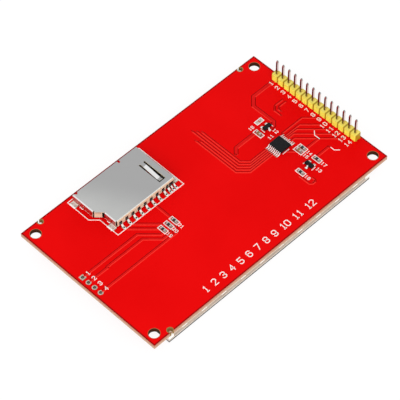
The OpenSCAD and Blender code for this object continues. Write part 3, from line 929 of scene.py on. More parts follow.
# Red epoxy ink: nearly pure red, with so little gloss that a pale room does not wash it out
MASK = SolderMask(
    "solder_mask", "#F00506", "#EB0304", roughness=0.45, specular=0.035, patch_mm=18, grain_mm=0.9,
    grain_height_mm=0.006,
)
# The same ink where it rises over copper: the top a little paler, the shoulders thin and painted dark as
# shade, with a painted highlight where they face the lamp
MASK_ON_COPPER = Finish(
    "mask_on_copper", "#E41614", "#DC1010", roughness=0.4, specular=0.06, grain_mm=0.9
)
MASK_SHOULDER_PAINTED_LIGHT = LitShoulder(
    "mask_shoulder_painted_light", "#720000", "#660000", roughness=0.4, specular=0.02, grain_mm=0.9
)
# White screen-printed ink: flat and chalky
LEGEND_INK = Finish(
    "legend_ink", "#FFFDFA", "#FAF2EC", roughness=0.7, specular=0.3, patch_mm=0.8, grain_mm=0.15
)
# Hot-air levelled tin: dull, gently domed, its walls painted darker as shade
TIN = Finish(
    "levelled_tin", "#E4DACB", "#B5A896", roughness=0.3, metallic=1.0, patch_mm=0.5, grain_mm=0.5,
    grain_height_mm=0.03, wall_tone="#6E645A",
)
# Tin-silver solder: brighter than the pads, with wet highlights
SOLDER = Finish(
    "tin_silver_solder", "#FFFFFF", "#F6F4F0", roughness=0.18, metallic=0.25, patch_mm=0.4,
    grain_mm=0.35, grain_height_mm=0.02,
)
# The same solder where it wicked up small caps: less of it, so it mirrors more of the board
THIN_SOLDER = Finish(
    "thin_solder", "#C2BDB5", "#A39D95", roughness=0.25, metallic=1.0, patch_mm=0.4, grain_mm=0.35,
    grain_height_mm=0.02,
)
# Injection-moulded nylon: warm yellow, satin, round at its edges
NYLON = HeaderMoulding(
    "yellow_nylon", "#FFF076", "#FFE65C", roughness=0.5, specular=0.4, patch_mm=1.6, grain_mm=0.25,
    grain_height_mm=0.012, edge_mm=0.16,
)
# Brass under a thin dull plating: mirrors the red board on one side
PIN_PLATE = PlatedPin(
    "plated_brass", "#6E5A58", "#5E4A49", roughness=0.15, metallic=1.0, patch_mm=1.5, grain_mm=0.2,
    grain_height_mm=0.003,
)
# Stamped stainless strip: grey and satin, rolled along the long side
STAINLESS = StampedCover(
    "stamped_stainless", "#D8D9D7", "#D2D3D1", roughness=0.34, metallic=1.0, patch_mm=9,
    grain_height_mm=0.002,
)
# Liquid-crystal polymer: black and matt
SOCKET_POLYMER = Finish(
    "liquid_crystal_polymer", "#2A2624", "#211E1D", roughness=0.6, specular=0.3, grain_mm=0.2
)
# Rolled phosphor bronze strip under bright tin: nearly white, with a soft streak of light
CONTACT_STRIP = RolledSheet(
    "tinned_bronze", "#FFFFFB", "#F4EFE6", roughness=0.26, metallic=1.0, patch_mm=1.0, along=Axis.Y
)
# Moulded epoxy compound: charcoal with the fine grain of a spark-eroded tool
EPOXY_COMPOUND = RoundedMoulding(
    "epoxy_compound", "#191A1C", "#101113", roughness=0.55, specular=0.15, patch_mm=0.8, grain_mm=0.12,
    grain_height_mm=0.01, edge_mm=0.05,
)
# Stamped copper lead frame under matt tin: white and satin, with hardly a reflection
LEAD_FRAME = Finish(
    "tinned_lead_frame", "#FFFFFC", "#F4F1EC", roughness=0.35, metallic=0.1, patch_mm=0.5, grain_mm=0.2
)
# Thick-film resistor: black glass glaze between tinned caps
RESISTOR = CappedChip(
    "glazed_resistor", "#15181A", "#202624", roughness=0.3, patch_mm=0.5, grain_mm=0.2
)
# Multilayer capacitor: fired brown ceramic between tinned caps
CAPACITOR = CappedChip(
    "fired_ceramic", "#9A7A4C", "#86683C", roughness=0.45, specular=0.4, patch_mm=0.5, grain_mm=0.15,
    cap_share=0.25,
)
# Closed-cell foam tape: white, dead matt, pitted where the cells are cut
FOAM = Finish(
    "closed_cell_foam", "#ECEAE4", "#D6D3CB", roughness=0.95, specular=0.1, patch_mm=0.5, grain_mm=0.18,
    grain_height_mm=0.05,
)
# Tin-plated tray: warm grey sheet, rolled along the display, with a painted highlight along its fold
TRAY_SHEET = FoldedTray(
    "plated_tray", "#C0AD9A", "#AC9987", roughness=0.42, metallic=0.35, patch_mm=8, grain_height_mm=0.002
)
# Moulded white polycarbonate: bright, with round edges that catch a thin light
POLYCARBONATE = RoundedMoulding(
    "white_polycarbonate", "#FFFDF6", "#F8F2E8", roughness=0.4, patch_mm=4, grain_mm=0.3, edge_mm=0.08
)
# Polyester films behind the cell: white and silky
WHITE_FILM = Finish("white_polyester", "#F4F4F2", "#EAEAE8", roughness=0.35, patch_mm=8, grain_mm=0.3)
# Acrylic guide with printed dots: reads as pale clear plastic at its edges
ACRYLIC = Finish("acrylic_guide", "#DCE4E6", "#C9D4D8", roughness=0.12, patch_mm=6, grain_mm=0.6)
# Moulded lamp packages on white flexible circuit: a cream strip
LAMP_STRIP = Finish("lamp_strip", "#EFE6B8", "#E4D99E", roughness=0.4, patch_mm=1.5, grain_mm=0.3)
# Cell glass between dark polarizers: nearly black with a cold cast, and a clean gloss
CELL_GLASS = Finish("cell_glass", "#16191B", "#1D2224", roughness=0.08, patch_mm=20, grain_mm=2)
# Sawn and polished bare silicon: a grey mirror
SILICON = Finish("silicon", "#5A5D63", "#4E5157", roughness=0.15, metallic=0.6, grain_mm=0.5)
# Cast polyimide film over etched copper: glossy brown with paler stripes
RIBBON = Polyimide("polyimide_ribbon", "#9A4F12", "#8C450E", roughness=0.25, patch_mm=5, grain_mm=0.6)
# Clear acrylic adhesive: greyish where it is cut
CLEAR_BOND = Finish("acrylic_adhesive", "#C2B2A2", "#B0A08F", roughness=0.6, specular=0.2, grain_mm=0.2)
# Soda-lime glass: its ground edge scatters light and reads as a warm pale grey
TOUCH_GLASS = EdgeDarkGlass(
    "soda_lime_glass", "#D6C9BC", "#C6B8AA", roughness=0.35, patch_mm=6, grain_mm=0.3
)
# Hard-coated polyester: black border, dark window, clean gloss
TOUCH_FILM = FramedFilm(
    "hard_coated_film", "#0D0D0E", "#121213", roughness=0.14, patch_mm=25, grain_mm=1.2
)

# Finish of every material slot of the record
SLOT_FINISHES: dict[str, Finish] = {
    "board": MASK,
    "tinned_pads": TIN,
    "solder": SOLDER,
    "header_plastic": NYLON,
    "header_pins": PIN_PLATE,
    "cover_steel": STAINLESS,
    "socket_plastic": SOCKET_POLYMER,
    "contact_metal": CONTACT_STRIP,
    "package": EPOXY_COMPOUND,
    "lead_frame": LEAD_FRAME,
    "resistor": RESISTOR,
    "capacitor": CAPACITOR,
    "foam": FOAM,
    "tray_steel": TRAY_SHEET,
    "frame_plastic": POLYCARBONATE,
    "optical_film": WHITE_FILM,
    "light_guide": ACRYLIC,
    "lamps": LAMP_STRIP,
    "cell_glass": CELL_GLASS,
    "silicon": SILICON,
    "ribbon": RIBBON,
    "black_bond": CLEAR_BOND,
    "touch_glass": TOUCH_GLASS,
    "touch_film": TOUCH_FILM,
}


# ---------------------------------------------------------------- meshes


@dataclass(frozen=True)
class Section:
    """Closed cross-section that a path carries: offsets with heights, and a tint for each side."""

    points: tuple[Point, ...]
    tints: tuple[int, ...]


def flat_section(width: float, height: float) -> Section:
    """Cross-section of a printed line."""
    a = width / 2
    return Section(((-a, 0), (-a, height), (a, height), (a, 0)), (0, 0, 0, 0))


def raised_section(width: float, shoulder: float, height: float) -> Section:
    """Cross-section of a track under its mask, with sloped shoulders in the second tint."""
    a, b = width / 2, width / 2 + shoulder
    return Section(((-b, 0), (-a, height), (a, height), (b, 0)), (1, 0, 1, 0))


@dataclass
class Draft:
    """Corners and faces of one piece, gathered in millimetres before they become a Blender object."""

    corners: list[Vector] = field(default_factory=list)
    faces: list[tuple[int, ...]] = field(default_factory=list)
    tints: list[int] = field(default_factory=list)
    end_turns: tuple[int, ...] = (85, 60, 30)
    sharpest_mitre: float = 0.5
    hill_steps: int = 5
    hill_corner: float = 0.3
    round_sides: int = 16
    collar_level: float = 0.8
    dimple_floor: Point = (0.5, 0.2)

    def loft(self, rings: list[list[Vector]], tints: tuple[int, ...], closed: bool = False) -> None:
        """Joins rings of equal length into one closed skin.

        Args:
            rings: Corner rings, in order.
            tints: Tint of each side of the ring.
            closed: Whether the last ring meets the first; otherwise both ends are capped.
        """
        start, n = len(self.corners), len(rings[0])
        for ring in rings:
            self.corners.extend(ring)
        spans = len(rings) if closed else len(rings) - 1
        for i in range(spans):
            a, b = start + i * n, start + (i + 1) % len(rings) * n
            for j in range(n):
                k = (j + 1) % n
                self.faces.append((a + j, a + k, b + k, b + j))
                self.tints.append(tints[j])
        if not closed:
            self.faces.append(tuple(start + j for j in reversed(range(n))))
            self.faces.append(tuple(start + spans * n + j for j in range(n)))
            self.tints.extend((tints[0], tints[0]))

    def sweep(self, path: Sequence[Point], section: Section, base: float, closed: bool = False) -> None:
        """Carries a cross-section along a path in plan, with mitred corners and half-round ends.

        Args:
            path: Points in plan.
            section: The cross-section.
            base: Height of the section's zero.
            closed: Whether the path is a loop.
        """
        points = [Vector(p) for p in path]
        n = len(points)
        ways = [(points[(i + 1) % n] - points[i]).normalized() for i in range(n if closed else n - 1)]
        stations: list[tuple[Vector, Vector]] = []
        for i, point in enumerate(points):
            way_in = ways[i - 1] if closed or i else ways[0]
            way_out = ways[min(i, len(ways) - 1)]
            square = Vector((-way_in.y, way_in.x))
            across = (square + Vector((-way_out.y, way_out.x))).normalized()
            stations.append((point, across / max(self.sharpest_mitre, across.dot(square))))
        if not closed:
            half = max(abs(offset) for offset, _ in section.points)
            turns = [math.radians(turn) for turn in self.end_turns]
            head, tail = (
                [(point + way * half * math.sin(t), across * math.cos(t)) for t in turns]
                for (point, across), way in ((stations[0], -ways[0]), (stations[-1], ways[-1]))
            )
            stations = head + stations + tail[::-1]
        rings = [
            [Vector((*(centre + across * offset), base + height)) for offset, height in section.points]
            for centre, across in stations
        ]
        self.loft(rings, section.tints, closed)

    def hill(self, centre: Vector, foot: Point, top: Point, height: float) -> None:
        """A concave solder hill that narrows from its foot to its top.

        Args:
            centre: Middle of the foot.
            foot: Length and width of the foot.
            top: Length and width of the top.
            height: Height of the hill.
        """
        rings = []
        for i in range(self.hill_steps + 1):
            t = i / self.hill_steps
            size = [b + (a - b) * (1 - t) ** 2 for a, b in zip(foot, top)]
            middle = centre + Vector((0, 0, t * height))
            rings.append(rounded_ring(middle, size, self.hill_corner * min(size)))
        self.loft(rings, (0,) * len(rings[0]))

    def ring(self, centre: Vector, outer: float, inner: float, height: float) -> None:
        """A low round collar with a dimple in the second tint, as mask leaves over a small plated hole.

        Args:
            centre: Middle of its underside.
            outer: Outer radius.
            inner: Radius of the dimple.
            height: Height of the collar.
        """
        n = self.round_sides
        bottom = (inner * self.dimple_floor[0], height * self.dimple_floor[1])
        profile = ((outer, 0), (outer * self.collar_level, height), (inner, height), bottom)
        turns = [math.tau * i / n for i in range(n)]
        rings = [
            [centre + Vector((r * math.cos(a), r * math.sin(a), z)) for a in turns] for r, z in profile
        ]
        dimple = len(self.faces) + 2 * n
        self.loft(rings, (0,) * n)
        self.tints[dimple:] = [1] * (len(self.tints) - dimple)

    def piece(self, name: str, finishes: tuple[Finish, ...], smooth: bool = False) -> None:
        """Makes the Blender object, which rides on the part's body.

        Args:
            name: Name of the piece.
            finishes: One finish for each tint.
            smooth: Whether its faces are shaded as one curve.
        """
        mesh = bpy.data.meshes.new(name)
        mesh.from_pydata([c * MM for c in self.corners], [], self.faces)
        for finish in finishes:
            mesh.materials.append(finish.material())
        for polygon, tint in zip(mesh.polygons, self.tints):
            polygon.material_index = tint
            polygon.use_smooth = smooth
        mesh.update()
        made = bpy.data.objects.new(name, mesh)
        bpy.context.scene.collection.objects.link(made)
        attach(made, BODY)
        LOG.info("%s: %d faces", name, len(mesh.polygons))


def rounded_ring(centre: Vector, size: list[float], radius: float, steps: int = 3) -> list[Vector]:
    """Corners of a level rectangle with round corners.

    Args:
        centre: Its middle.
        size: Length along X and width along Y.
        radius: Radius of its corners.
        steps: Spans of each quarter circle.

    Returns:
        The corners, anticlockwise.
    """
    ring = []
    for quarter, (sx, sy) in enumerate(((1, 1), (-1, 1), (-1, -1), (1, -1))):
        middle = centre + Vector((sx * (size[0] / 2 - radius), sy * (size[1] / 2 - radius), 0))
        for i in range(steps + 1):
            a = (quarter + i / steps) * math.pi / 2
            ring.append(middle + radius * Vector((math.cos(a), math.sin(a), 0)))
    return ring


def build_pieces(
    pieces: dict[str, Callable[[Draft], None]],
    finishes: tuple[Finish, ...],
    smooth: bool = False,
) -> None:
    """Drafts and makes some pieces of one finish.

    Args:
        pieces: The name of each, and the method that drafts it.
        finishes: One finish for each tint.
        smooth: Whether their faces are shaded as one curve.
    """
    for name, fill in pieces.items():
        draft = Draft()
        fill(draft)
        draft.piece(name, finishes, smooth)


# ---------------------------------------------------------------- numerals


class Align(Enum):
    """Which end of a number stands at its place."""

    LEFT = 0.0
    RIGHT = 1.0


# Strokes of each numeral on a grid, with cut corners; True closes a stroke
GRID_WIDTH = 4
GRID_HEIGHT = 6
STROKES: dict[str, tuple[tuple[tuple[Point, ...], bool], ...]] = {
    "0": ((((1, 0), (3, 0), (4, 1), (4, 5), (3, 6), (1, 6), (0, 5), (0, 1)), True),),
    "1": ((((1, 5), (2, 6), (2, 0)), False), (((1, 0), (3, 0)), False)),
    "2": ((((0, 5), (1, 6), (3, 6), (4, 5), (4, 4), (0, 0), (4, 0)), False),),
    "3": (
        (
            ((0, 5), (1, 6), (3, 6), (4, 5), (4, 4), (3, 3), (4, 2), (4, 1), (3, 0), (1, 0), (0, 1)),
            False,
        ),
        (((1.5, 3), (3, 3)), False),
    ),
    "4": ((((3, 0), (3, 6), (0, 2), (4, 2)), False),),
    "5": ((((4, 6), (0, 6), (0, 3.5), (3, 3.5), (4, 2.5), (4, 1), (3, 0), (1, 0), (0, 1)), False),),
    "6": (
        (
            (
                (4, 5), (3, 6), (1, 6), (0, 5), (0, 1), (1, 0), (3, 0), (4, 1), (4, 2.5), (3, 3.5),
                (0, 3.5),
            ),
            False,
        ),
    ),
    "7": ((((0, 6), (4, 6), (1.5, 0)), False),),
    "8": (
        (((1, 0), (3, 0), (4, 1), (4, 2), (3, 3), (1, 3), (0, 2), (0, 1)), True),
        (((1, 3), (0, 4), (0, 5), (1, 6), (3, 6), (4, 5), (4, 4), (3, 3)), False),
    ),
    "9": (
        (
            (
                (0, 1), (1, 0), (3, 0), (4, 1), (4, 5), (3, 6), (1, 6), (0, 5), (0, 3.5), (1, 2.5),
                (4, 2.5),
            ),
            False,
        ),
    ),
}


@dataclass(frozen=True)
class Numerals:
    """Plain stroked numbers of the board's legend."""

    height: float
    stroke: float
    ink: float
    gap: float = 2.2

    def write(
        self,
        draft: Draft,
        text: str,
        at: Point,
        base: float,
        turn: float = 0.0,
        align: Align = Align.LEFT,
    ) -> None:
        """Adds a number to a draft.

        Args:
            draft: The piece that it belongs to.
            text: Digits and spaces.
            at: Place of its lower end.
            base: Height of the surface.
            turn: Turn of its baseline from +X, in degrees.
            align: Which end stands at the place.
        """
        unit = self.height / GRID_HEIGHT
        step = GRID_WIDTH + self.gap
        length = (len(text) * step - self.gap) * unit
        way = Vector((math.cos(math.radians(turn)), math.sin(math.radians(turn))))
        rise = Vector((-way.y, way.x))
        start = Vector(at) - way * length * align.value
        section = flat_section(self.stroke, self.ink)
        for i, digit in enumerate(text):
            for stroke, closed in STROKES.get(digit, ()):
                path = [tuple(start + way * unit * (i * step + x) + rise * unit * y) for x, y in stroke]
                draft.sweep(path, section, base, closed)


# ---------------------------------------------------------------- sub-assemblies


@dataclass
class Board:
    """Where the board's features are, read from the frame."""

    top: float = field(init=False)
    resistors: tuple[str, ...] = tuple(f"resistor_{i}" for i in range(1, 7))
    capacitors: tuple[str, ...] = ("capacitor_1", "capacitor_2")
    header_pins: int = 14
    card_contacts: int = 9
    card_holes: int = 4
    lead_rows: int = 8
    lead_half: float = 0.11

    def __post_init__(self) -> None:
        """Reads the height of the laminate's upper face."""
        self.top = box_mm("pcb")[1].z

    def chip(self, node: str) -> Point:
        """Place of a small part."""
        middle = centre_mm(node)
        return (middle.x, middle.y)

    def pin(self, number: int) -> Point:
        """Place of a header pin."""
        return self.chip(f"header_pin_{number}")

    def contact(self, number: int) -> Point:
        """Place of a card contact's outer end."""
        low, high = box_mm(f"card_contact_{number}")
        return ((low.x + high.x) / 2, low.y)

    def controller_lead(self, row: int, side: int) -> Point:
        """Outer end of a controller lead.

        Args:
            row: 0 to 7, from -Y.
            side: 1 towards the header, -1 away from it.

        Returns:
            Its place.
        """
        low, high = box_mm("touch_controller_leads")
        span = high.y - low.y - 2 * self.lead_half
        y = low.y + self.lead_half + row * span / (self.lead_rows - 1)
        return (high.x if side > 0 else low.x, y)

    def card_header(self) -> list[Point]:
        """Finds the four empty holes of the card header.

        Returns:
            Their places, from +Y.
        """
        mount = next(m for m in frame["record"]["mounts"] if m["name"] == "card_header")
        x, y = (v / MM for v in mount["pos_m"][:2])
        return [(x, y + ((self.card_holes - 1) / 2 - i) * PITCH) for i in range(self.card_holes)]


@dataclass
class Tracks:
    """Copper tracks under the mask, and the small plated holes.

    They stand 0.06 mm proud, a little more than real ones, so that their edges show.
    """

    board: Board
    thin: float = 0.3
    middle: float = 0.6
    wide: float = 1.0
    shoulder: float = 0.22
    height: float = 0.07
    sink: float = 0.01
    via: Point = (0.42, 0.2)
    # How far a track stays from a lead's end, from a plated hole's middle and from a chip's middle
    lead_gap: float = 0.3
    hole_gap: float = 1.0
    pad_reach: float = 0.8
    # Controller leads that the pins from the ninth on are joined to, and where their tracks turn
    first_touch_pin: int = 9
    touch_rows: tuple[int, ...] = (7, 6, 5, 4, 2)
    touch_bend: float = 44.4
    outer_touch_bend: float = 45.7
    outer_touch_step: float = 1.0
    outer_touch_y: float = 0.33
    # The nested tracks: the place of the first one's run, bend, rise and end, and the step to the next
    nested: int = 5
    run_start: float = 0.5
    run_y: Point = (-0.5, 0.72)
    bend_x: Point = (18.2, 0.75)
    rise_x: Point = (16.0, 0.95)
    end_y: Point = (15.6, 1.15)
    # Corners of the other tracks, where no node's place sets them
    feed: tuple[Point, ...] = ((37.1, 16.7), (34.4, 14.0), (34.4, 5.4), (33.2, 4.2))
    feed_y: Point = (16.7, 4.0)
    supply_out: tuple[Point, Point] = ((-0.6, 1.0), (17.3, 4.6))
    supply_corner: float = 18.9
    reset_pair: tuple[tuple[Point, ...], ...] = (
        ((42.4, 9.5), (39.2, 9.5), (37.7, 8.2), (37.7, 5.4)),
        ((42.6, 8.3), (39.9, 8.3), (38.9, 7.6), (38.9, 6.6)),
    )
    lamp_pair: tuple[tuple[Point, ...], ...] = (
        ((33.7, -8.9), (39.0, -8.9)),
        ((33.9, -13.3), (39.0, -13.3)),
    )
    lamp_gate: tuple[Point, ...] = ((28.4, -5.3), (30.7, -7.6))
    # Offsets along X from resistor 5, with places along Y
    filter_loop: tuple[Point, ...] = ((-1.3, -18.9), (-0.6, -19.6), (0.5, -19.6), (1, -19.1), (1, -18.0))
    card_start: float = 0.2
    card_corner: Point = (0.4, -0.7)
    card_slant: float = 0.6
    card_three: Point = (0.1, 7.5)
    card_one: tuple[Point, ...] = ((-25.05, 3.75), (-20.1, -1.2))
    card_two: tuple[Point, ...] = ((-39.6, 1.17), (-39.3, 1.45), (-25.1, 1.45), (-20.9, -2.75))
    card_two_turn: float = 1.5
    card_four_turn: float = 2.6
    loose_vias: tuple[Point, ...] = (
        (37.7, 5.3), (38.9, 6.5), (16.9, 4.4), (25.9, -19.3), (39.3, -8.9), (39.3, -13.3),
    )

    def draw(self, draft: Draft, path: Sequence[Point], width: float) -> None:
        """Adds one track to a draft."""
        section = raised_section(width, self.shoulder, self.height)
        draft.sweep(path, section, self.board.top - self.sink)

    def header_to_controller(self, draft: Draft) -> None:
        """Five tracks from the controller, each level, then at 45 degrees, to pins 9 to 13.

        Args:
            draft: The piece that they belong to.
        """
        for i, row in enumerate(self.touch_rows):
            x0, y0 = self.board.controller_lead(row, 1)
            pin_x, pin_y = self.board.pin(self.first_touch_pin + i)
            bend = self.touch_bend if i else self.outer_touch_bend
            level_y = y0 if i else self.outer_touch_y
            path = [(x0 + self.lead_gap, y0), (bend - level_y + pin_y, level_y), (bend, pin_y)]
            if not i:
                path.insert(1, (x0 + self.outer_touch_step, level_y))
            self.draw(draft, path + [(pin_x - self.hole_gap, pin_y)], self.thin)

    def controller_to_display(self, draft: Draft) -> None:
        """Nested tracks from the controller towards -X that turn up to their vias.

        Args:
            draft: The piece that they belong to.
        """
        for i, via in enumerate(self.via_row()):
            x0, lead_y = self.board.controller_lead(self.board.lead_rows - 1 - i, -1)
            y = self.run_y[0] - self.run_y[1] * i
            bend, rise = self.bend_x[0] - self.bend_x[1] * i, self.rise_x[0] - self.rise_x[1] * i
            start = (x0 - self.run_start - abs(lead_y - y), y)
            path = [(x0 - self.lead_gap, lead_y), start, (bend, y), (rise, y + bend - rise)]
            self.draw(draft, path + [(rise, via[1])], self.thin)

    def via_row(self) -> list[Point]:
        """Finds the ends of the nested tracks, on a slant.

        Returns:
            Their places, from the outermost track.
        """
        (x, dx), (y, dy), n = self.rise_x, self.end_y, self.nested
        return [(x - dx * i, y + dy * ((i + 2) % n)) for i in range(n)]

    def supply(self, draft: Draft) -> None:
        """Wide tracks to the regulator and its capacitor, and the reset pair.

        Args:
            draft: The piece that they belong to.
        """
        regulator_x, _ = self.board.chip("regulator")
        cap_x, cap_y = self.board.chip("capacitor_2")
        pin_x, _ = self.board.pin(1)
        feed = [(pin_x - self.hole_gap, self.feed_y[0]), *self.feed, (regulator_x, self.feed_y[1])]
        self.draw(draft, feed, self.wide)
        (dx, dy), end = self.supply_out
        level_y = cap_y + dy
        self.draw(draft, [(cap_x + dx, level_y), (self.supply_corner, level_y), end], self.wide)
        for path in self.reset_pair:
            self.draw(draft, path, self.thin)

    def lamp_drive(self, draft: Draft) -> None:
        """Tracks of the transistor that drives the display's lamps, and those of the filter parts.

        Args:
            draft: The piece that they belong to.
        """
        for path in self.lamp_pair:
            self.draw(draft, path, self.middle)
        self.draw(draft, self.lamp_gate, self.thin)
        x, y = self.board.chip("resistor_5")
        loop = [(x + dx, end_y) for dx, end_y in self.filter_loop]
        self.draw(draft, [(loop[0][0], y - self.pad_reach), *loop], self.thin)

    def card(self, draft: Draft) -> None:
        """Tracks between the card socket, its pull-up resistors and the card header.

        Args:
            draft: The piece that they belong to.
        """
        one, two, three = (self.board.chip(f"resistor_{i}") for i in (1, 2, 3))
        end, gap = self.pad_reach, self.hole_gap
        first, second, _, fourth = self.board.card_header()
        paths = []
        for contact, (chip_x, chip_y) in ((1, one), (2, two)):
            x, y = self.board.contact(contact)
            corner = (x + self.card_corner[0], y + self.card_corner[1])
            turn_x = corner[0] + (corner[1] - chip_y - end) - self.card_slant
            slant = [corner, (turn_x, chip_y + end + self.card_slant)]
            paths.append([(x, y - self.card_start), *slant, (chip_x, chip_y + end)])
        three_x = three[0] + self.card_three[0]
        paths += [
            [(three_x, self.card_three[1]), (three_x, three[1] + end)],
            [(first[0] + gap, first[1]), *self.card_one, (one[0], one[1] - end)],
            [
                (second[0] + gap, second[1]),
                *self.card_two,
                (two[0] - self.card_two_turn, self.card_two[-1][1]),
                (two[0], two[1] - end),
            ],
            [
                (fourth[0] + gap, fourth[1]),
                (three[0] - self.card_four_turn, fourth[1]),
                (three[0], three[1] - end),
            ],
        ]
        for path in paths:
            self.draw(draft, path, self.middle)

    def vias(self, draft: Draft) -> None:
        """Small plated holes, covered by the mask.

        Args:
            draft: The piece that they belong to.
        """
        for x, y in [*self.via_row(), *self.loose_vias]:
            draft.ring(Vector((x, y, self.board.top - self.sink)), *self.via, self.height)

    def build(self) -> None:
        """Builds every track and via."""
        build_pieces(
            {
                "tracks_header_to_controller": self.header_to_controller,
                "tracks_controller_to_display": self.controller_to_display,
                "tracks_supply": self.supply,
                "tracks_lamp_drive": self.lamp_drive,
                "tracks_card": self.card,
            },
            (MASK_ON_COPPER, MASK_SHOULDER_PAINTED_LIGHT),
        )
        # The vias' dimples take the shoulder finish, painted dark as shade in the hollow
        build_pieces({"vias": self.vias}, (MASK_ON_COPPER, MASK_SHOULDER_PAINTED_LIGHT), smooth=True)


@dataclass
class Legend:
    """White ink on the mask: outlines of the parts and plain numbers.

    The ink stands 0.09 mm high, more than the real 0.02 mm, so that its sides show.
    """

    board: Board
    line: float = 0.23
    ink: float = 0.09
    small: Numerals = Numerals(1.3, 0.21, 0.09)
    least: Numerals = Numerals(1.0, 0.17, 0.09)
    title: Numerals = Numerals(2.1, 0.27, 0.09, gap=1.1)
    side_gap: float = 0.85
    hole_gap: float = 1.75
    resistor_box: Point = (1.4, 3.1)
    capacitor_box: Point = (1.5, 3.2)
    package_mark: Point = (1.75, 0.75)
    controller_gap: float = 0.3
    controller_inset: Point = (0.6, 1.2)
    # An empty place for a chip beside the regulator
    empty_box: tuple[Point, ...] = ((29.8, 7.8), (32.6, 7.8), (32.6, 9.2), (29.8, 9.2))
    # The line round the socket: its gaps at the left, right, front and back, its ends and its key
    socket_gaps: tuple[float, ...] = (0.2, 0.25, 0.45, 0.6)
    socket_ends: Point = (2.7, 2.4)
    keyed_corner: Point = (2.35, 8.5)
    bracket: tuple[tuple[Point, ...], ...] = (
        ((40.5, -5.9), (39.3, -7.1), (39.3, -9.2)),
        ((39.3, -13.9), (39.3, -15.3), (40.5, -16.5)),
    )
    # Each numbered part, how far its number starts from the part's middle, and the number's turn
    beside: tuple[tuple[str, Point, float], ...] = (
        ("touch_controller", (-0.4, 3.9), 0),
        ("regulator", (0.4, -1.9), -90),
        ("transistor", (0.3, -2.4), -90),
        ("resistor_4", (-0.5, -2.0), -90),
        ("capacitor_1", (-0.5, -2.0), -90),
        ("resistor_5", (-0.5, -2.0), -90),
        ("resistor_6", (-0.5, -2.0), -90),
        ("capacitor_2", (-0.9, 2.6), 0),
        ("resistor_1", (-0.5, -1.9), -90),
        ("resistor_2", (-0.5, -1.9), -90),
        ("resistor_3", (-0.5, -1.9), -90),
    )
    first_part_number: int = 11
    title_text: str = "1 2 3 4 5 6 7 8 9 10 11 12"
    title_at: Point = (-25.3, -25.5)

    def stroke(self, draft: Draft, path: Sequence[Point], closed: bool = False) -> None:
        """Adds one printed line."""
        draft.sweep(path, flat_section(self.line, self.ink), self.board.top, closed)

    def frame_round(self, draft: Draft, node: str, size: Point) -> None:
        """Prints a box round a small part.

        Args:
            draft: The piece that it belongs to.
            node: The part.
            size: Width along X and length along Y.
        """
        x, y = self.board.chip(node)
        a, b = size[0] / 2, size[1] / 2
        self.stroke(draft, [(x - a, y - b), (x + a, y - b), (x + a, y + b), (x - a, y + b)], True)

    def part_outlines(self, draft: Draft) -> None:
        """Boxes round the chips and marks at the packages.

        Args:
            draft: The piece that they belong to.
        """
        for node in self.board.resistors:
            self.frame_round(draft, node, self.resistor_box)
        for node in self.board.capacitors:
            self.frame_round(draft, node, self.capacitor_box)
        out, half = self.package_mark
        for node, turned in (("regulator", False), ("transistor", True)):
            x, y = self.board.chip(node)
            for s in (-1, 1):
                marks = [(s * out, s * b) for b in (-half, half)]
                self.stroke(draft, [(x + b, y + a) if turned else (x + a, y + b) for a, b in marks])
        low, high = box_mm("touch_controller")
        left, right = low.x + self.controller_inset[0], high.x - self.controller_inset[1]
        front, back = low.y - self.controller_gap, high.y + self.controller_gap
        self.stroke(draft, [(left, front), (right, front)])
        self.stroke(draft, [(left, back), (high.x, back)])
        self.stroke(draft, self.empty_box, True)

    def socket_outline(self, draft: Draft) -> None:
        """The line round the card socket, which follows its keyed corner.

        Args:
            draft: The piece that it belongs to.
        """
        low, high = box_mm("card_socket_cover")
        left, right = low.x - self.socket_gaps[0], high.x + self.socket_gaps[1]
        front = box_mm("card_contact_1")[0].y - self.socket_gaps[2]
        back = high.y + self.socket_gaps[3]
        first, last = left + self.socket_ends[0], right - self.socket_ends[1]
        step, corner = self.keyed_corner[0], high.y - self.keyed_corner[1]
        keyed = [(first, back), (left, back), (left, corner), (left + step, corner - step)]
        plain = [(left + step, front), (right, front), (right, back), (last, back)]
        self.stroke(draft, keyed + plain)

    def pin_numbers(self, draft: Draft) -> None:
        """Pin numbers beside the header, and the card header's numbers.

        Args:
            draft: The piece that they belong to.
        """
        half = self.small.height / 2
        edge = box_mm("header_housing")[0].x - self.side_gap
        for i in range(1, self.board.header_pins + 1):
            _, y = self.board.pin(i)
            self.small.write(draft, str(i), (edge, y - half), self.board.top, align=Align.RIGHT)
        for i, (x, y) in enumerate(self.board.card_header(), 1):
            self.small.write(draft, str(i), (x + self.hole_gap, y - half), self.board.top)

    def touch_bracket(self, draft: Draft) -> None:
        """The bracket that spans the pins of the touch circuit."""
        for path in self.bracket:
            self.stroke(draft, path)

    def part_numbers(self, draft: Draft) -> None:
        """A plain number beside each part.

        Args:
            draft: The piece that they belong to.
        """
        for i, (node, (dx, dy), turn) in enumerate(self.beside, self.first_part_number):
            x, y = self.board.chip(node)
            self.least.write(draft, str(i), (x + dx, y + dy), self.board.top, turn)

    def title_numbers(self, draft: Draft) -> None:
        """A row of plain numbers along the board's long side."""
        self.title.write(draft, self.title_text, self.title_at, self.board.top)

    def build(self) -> None:
        """Prints the whole legend."""
        build_pieces(
            {
                "legend_part_outlines": self.part_outlines,
                "legend_socket_outline": self.socket_outline,
                "legend_pin_numbers": self.pin_numbers,
                "legend_touch_bracket": self.touch_bracket,
                "legend_part_numbers": self.part_numbers,
                "legend_title_numbers": self.title_numbers,
            },
            (LEGEND_INK,),
        )


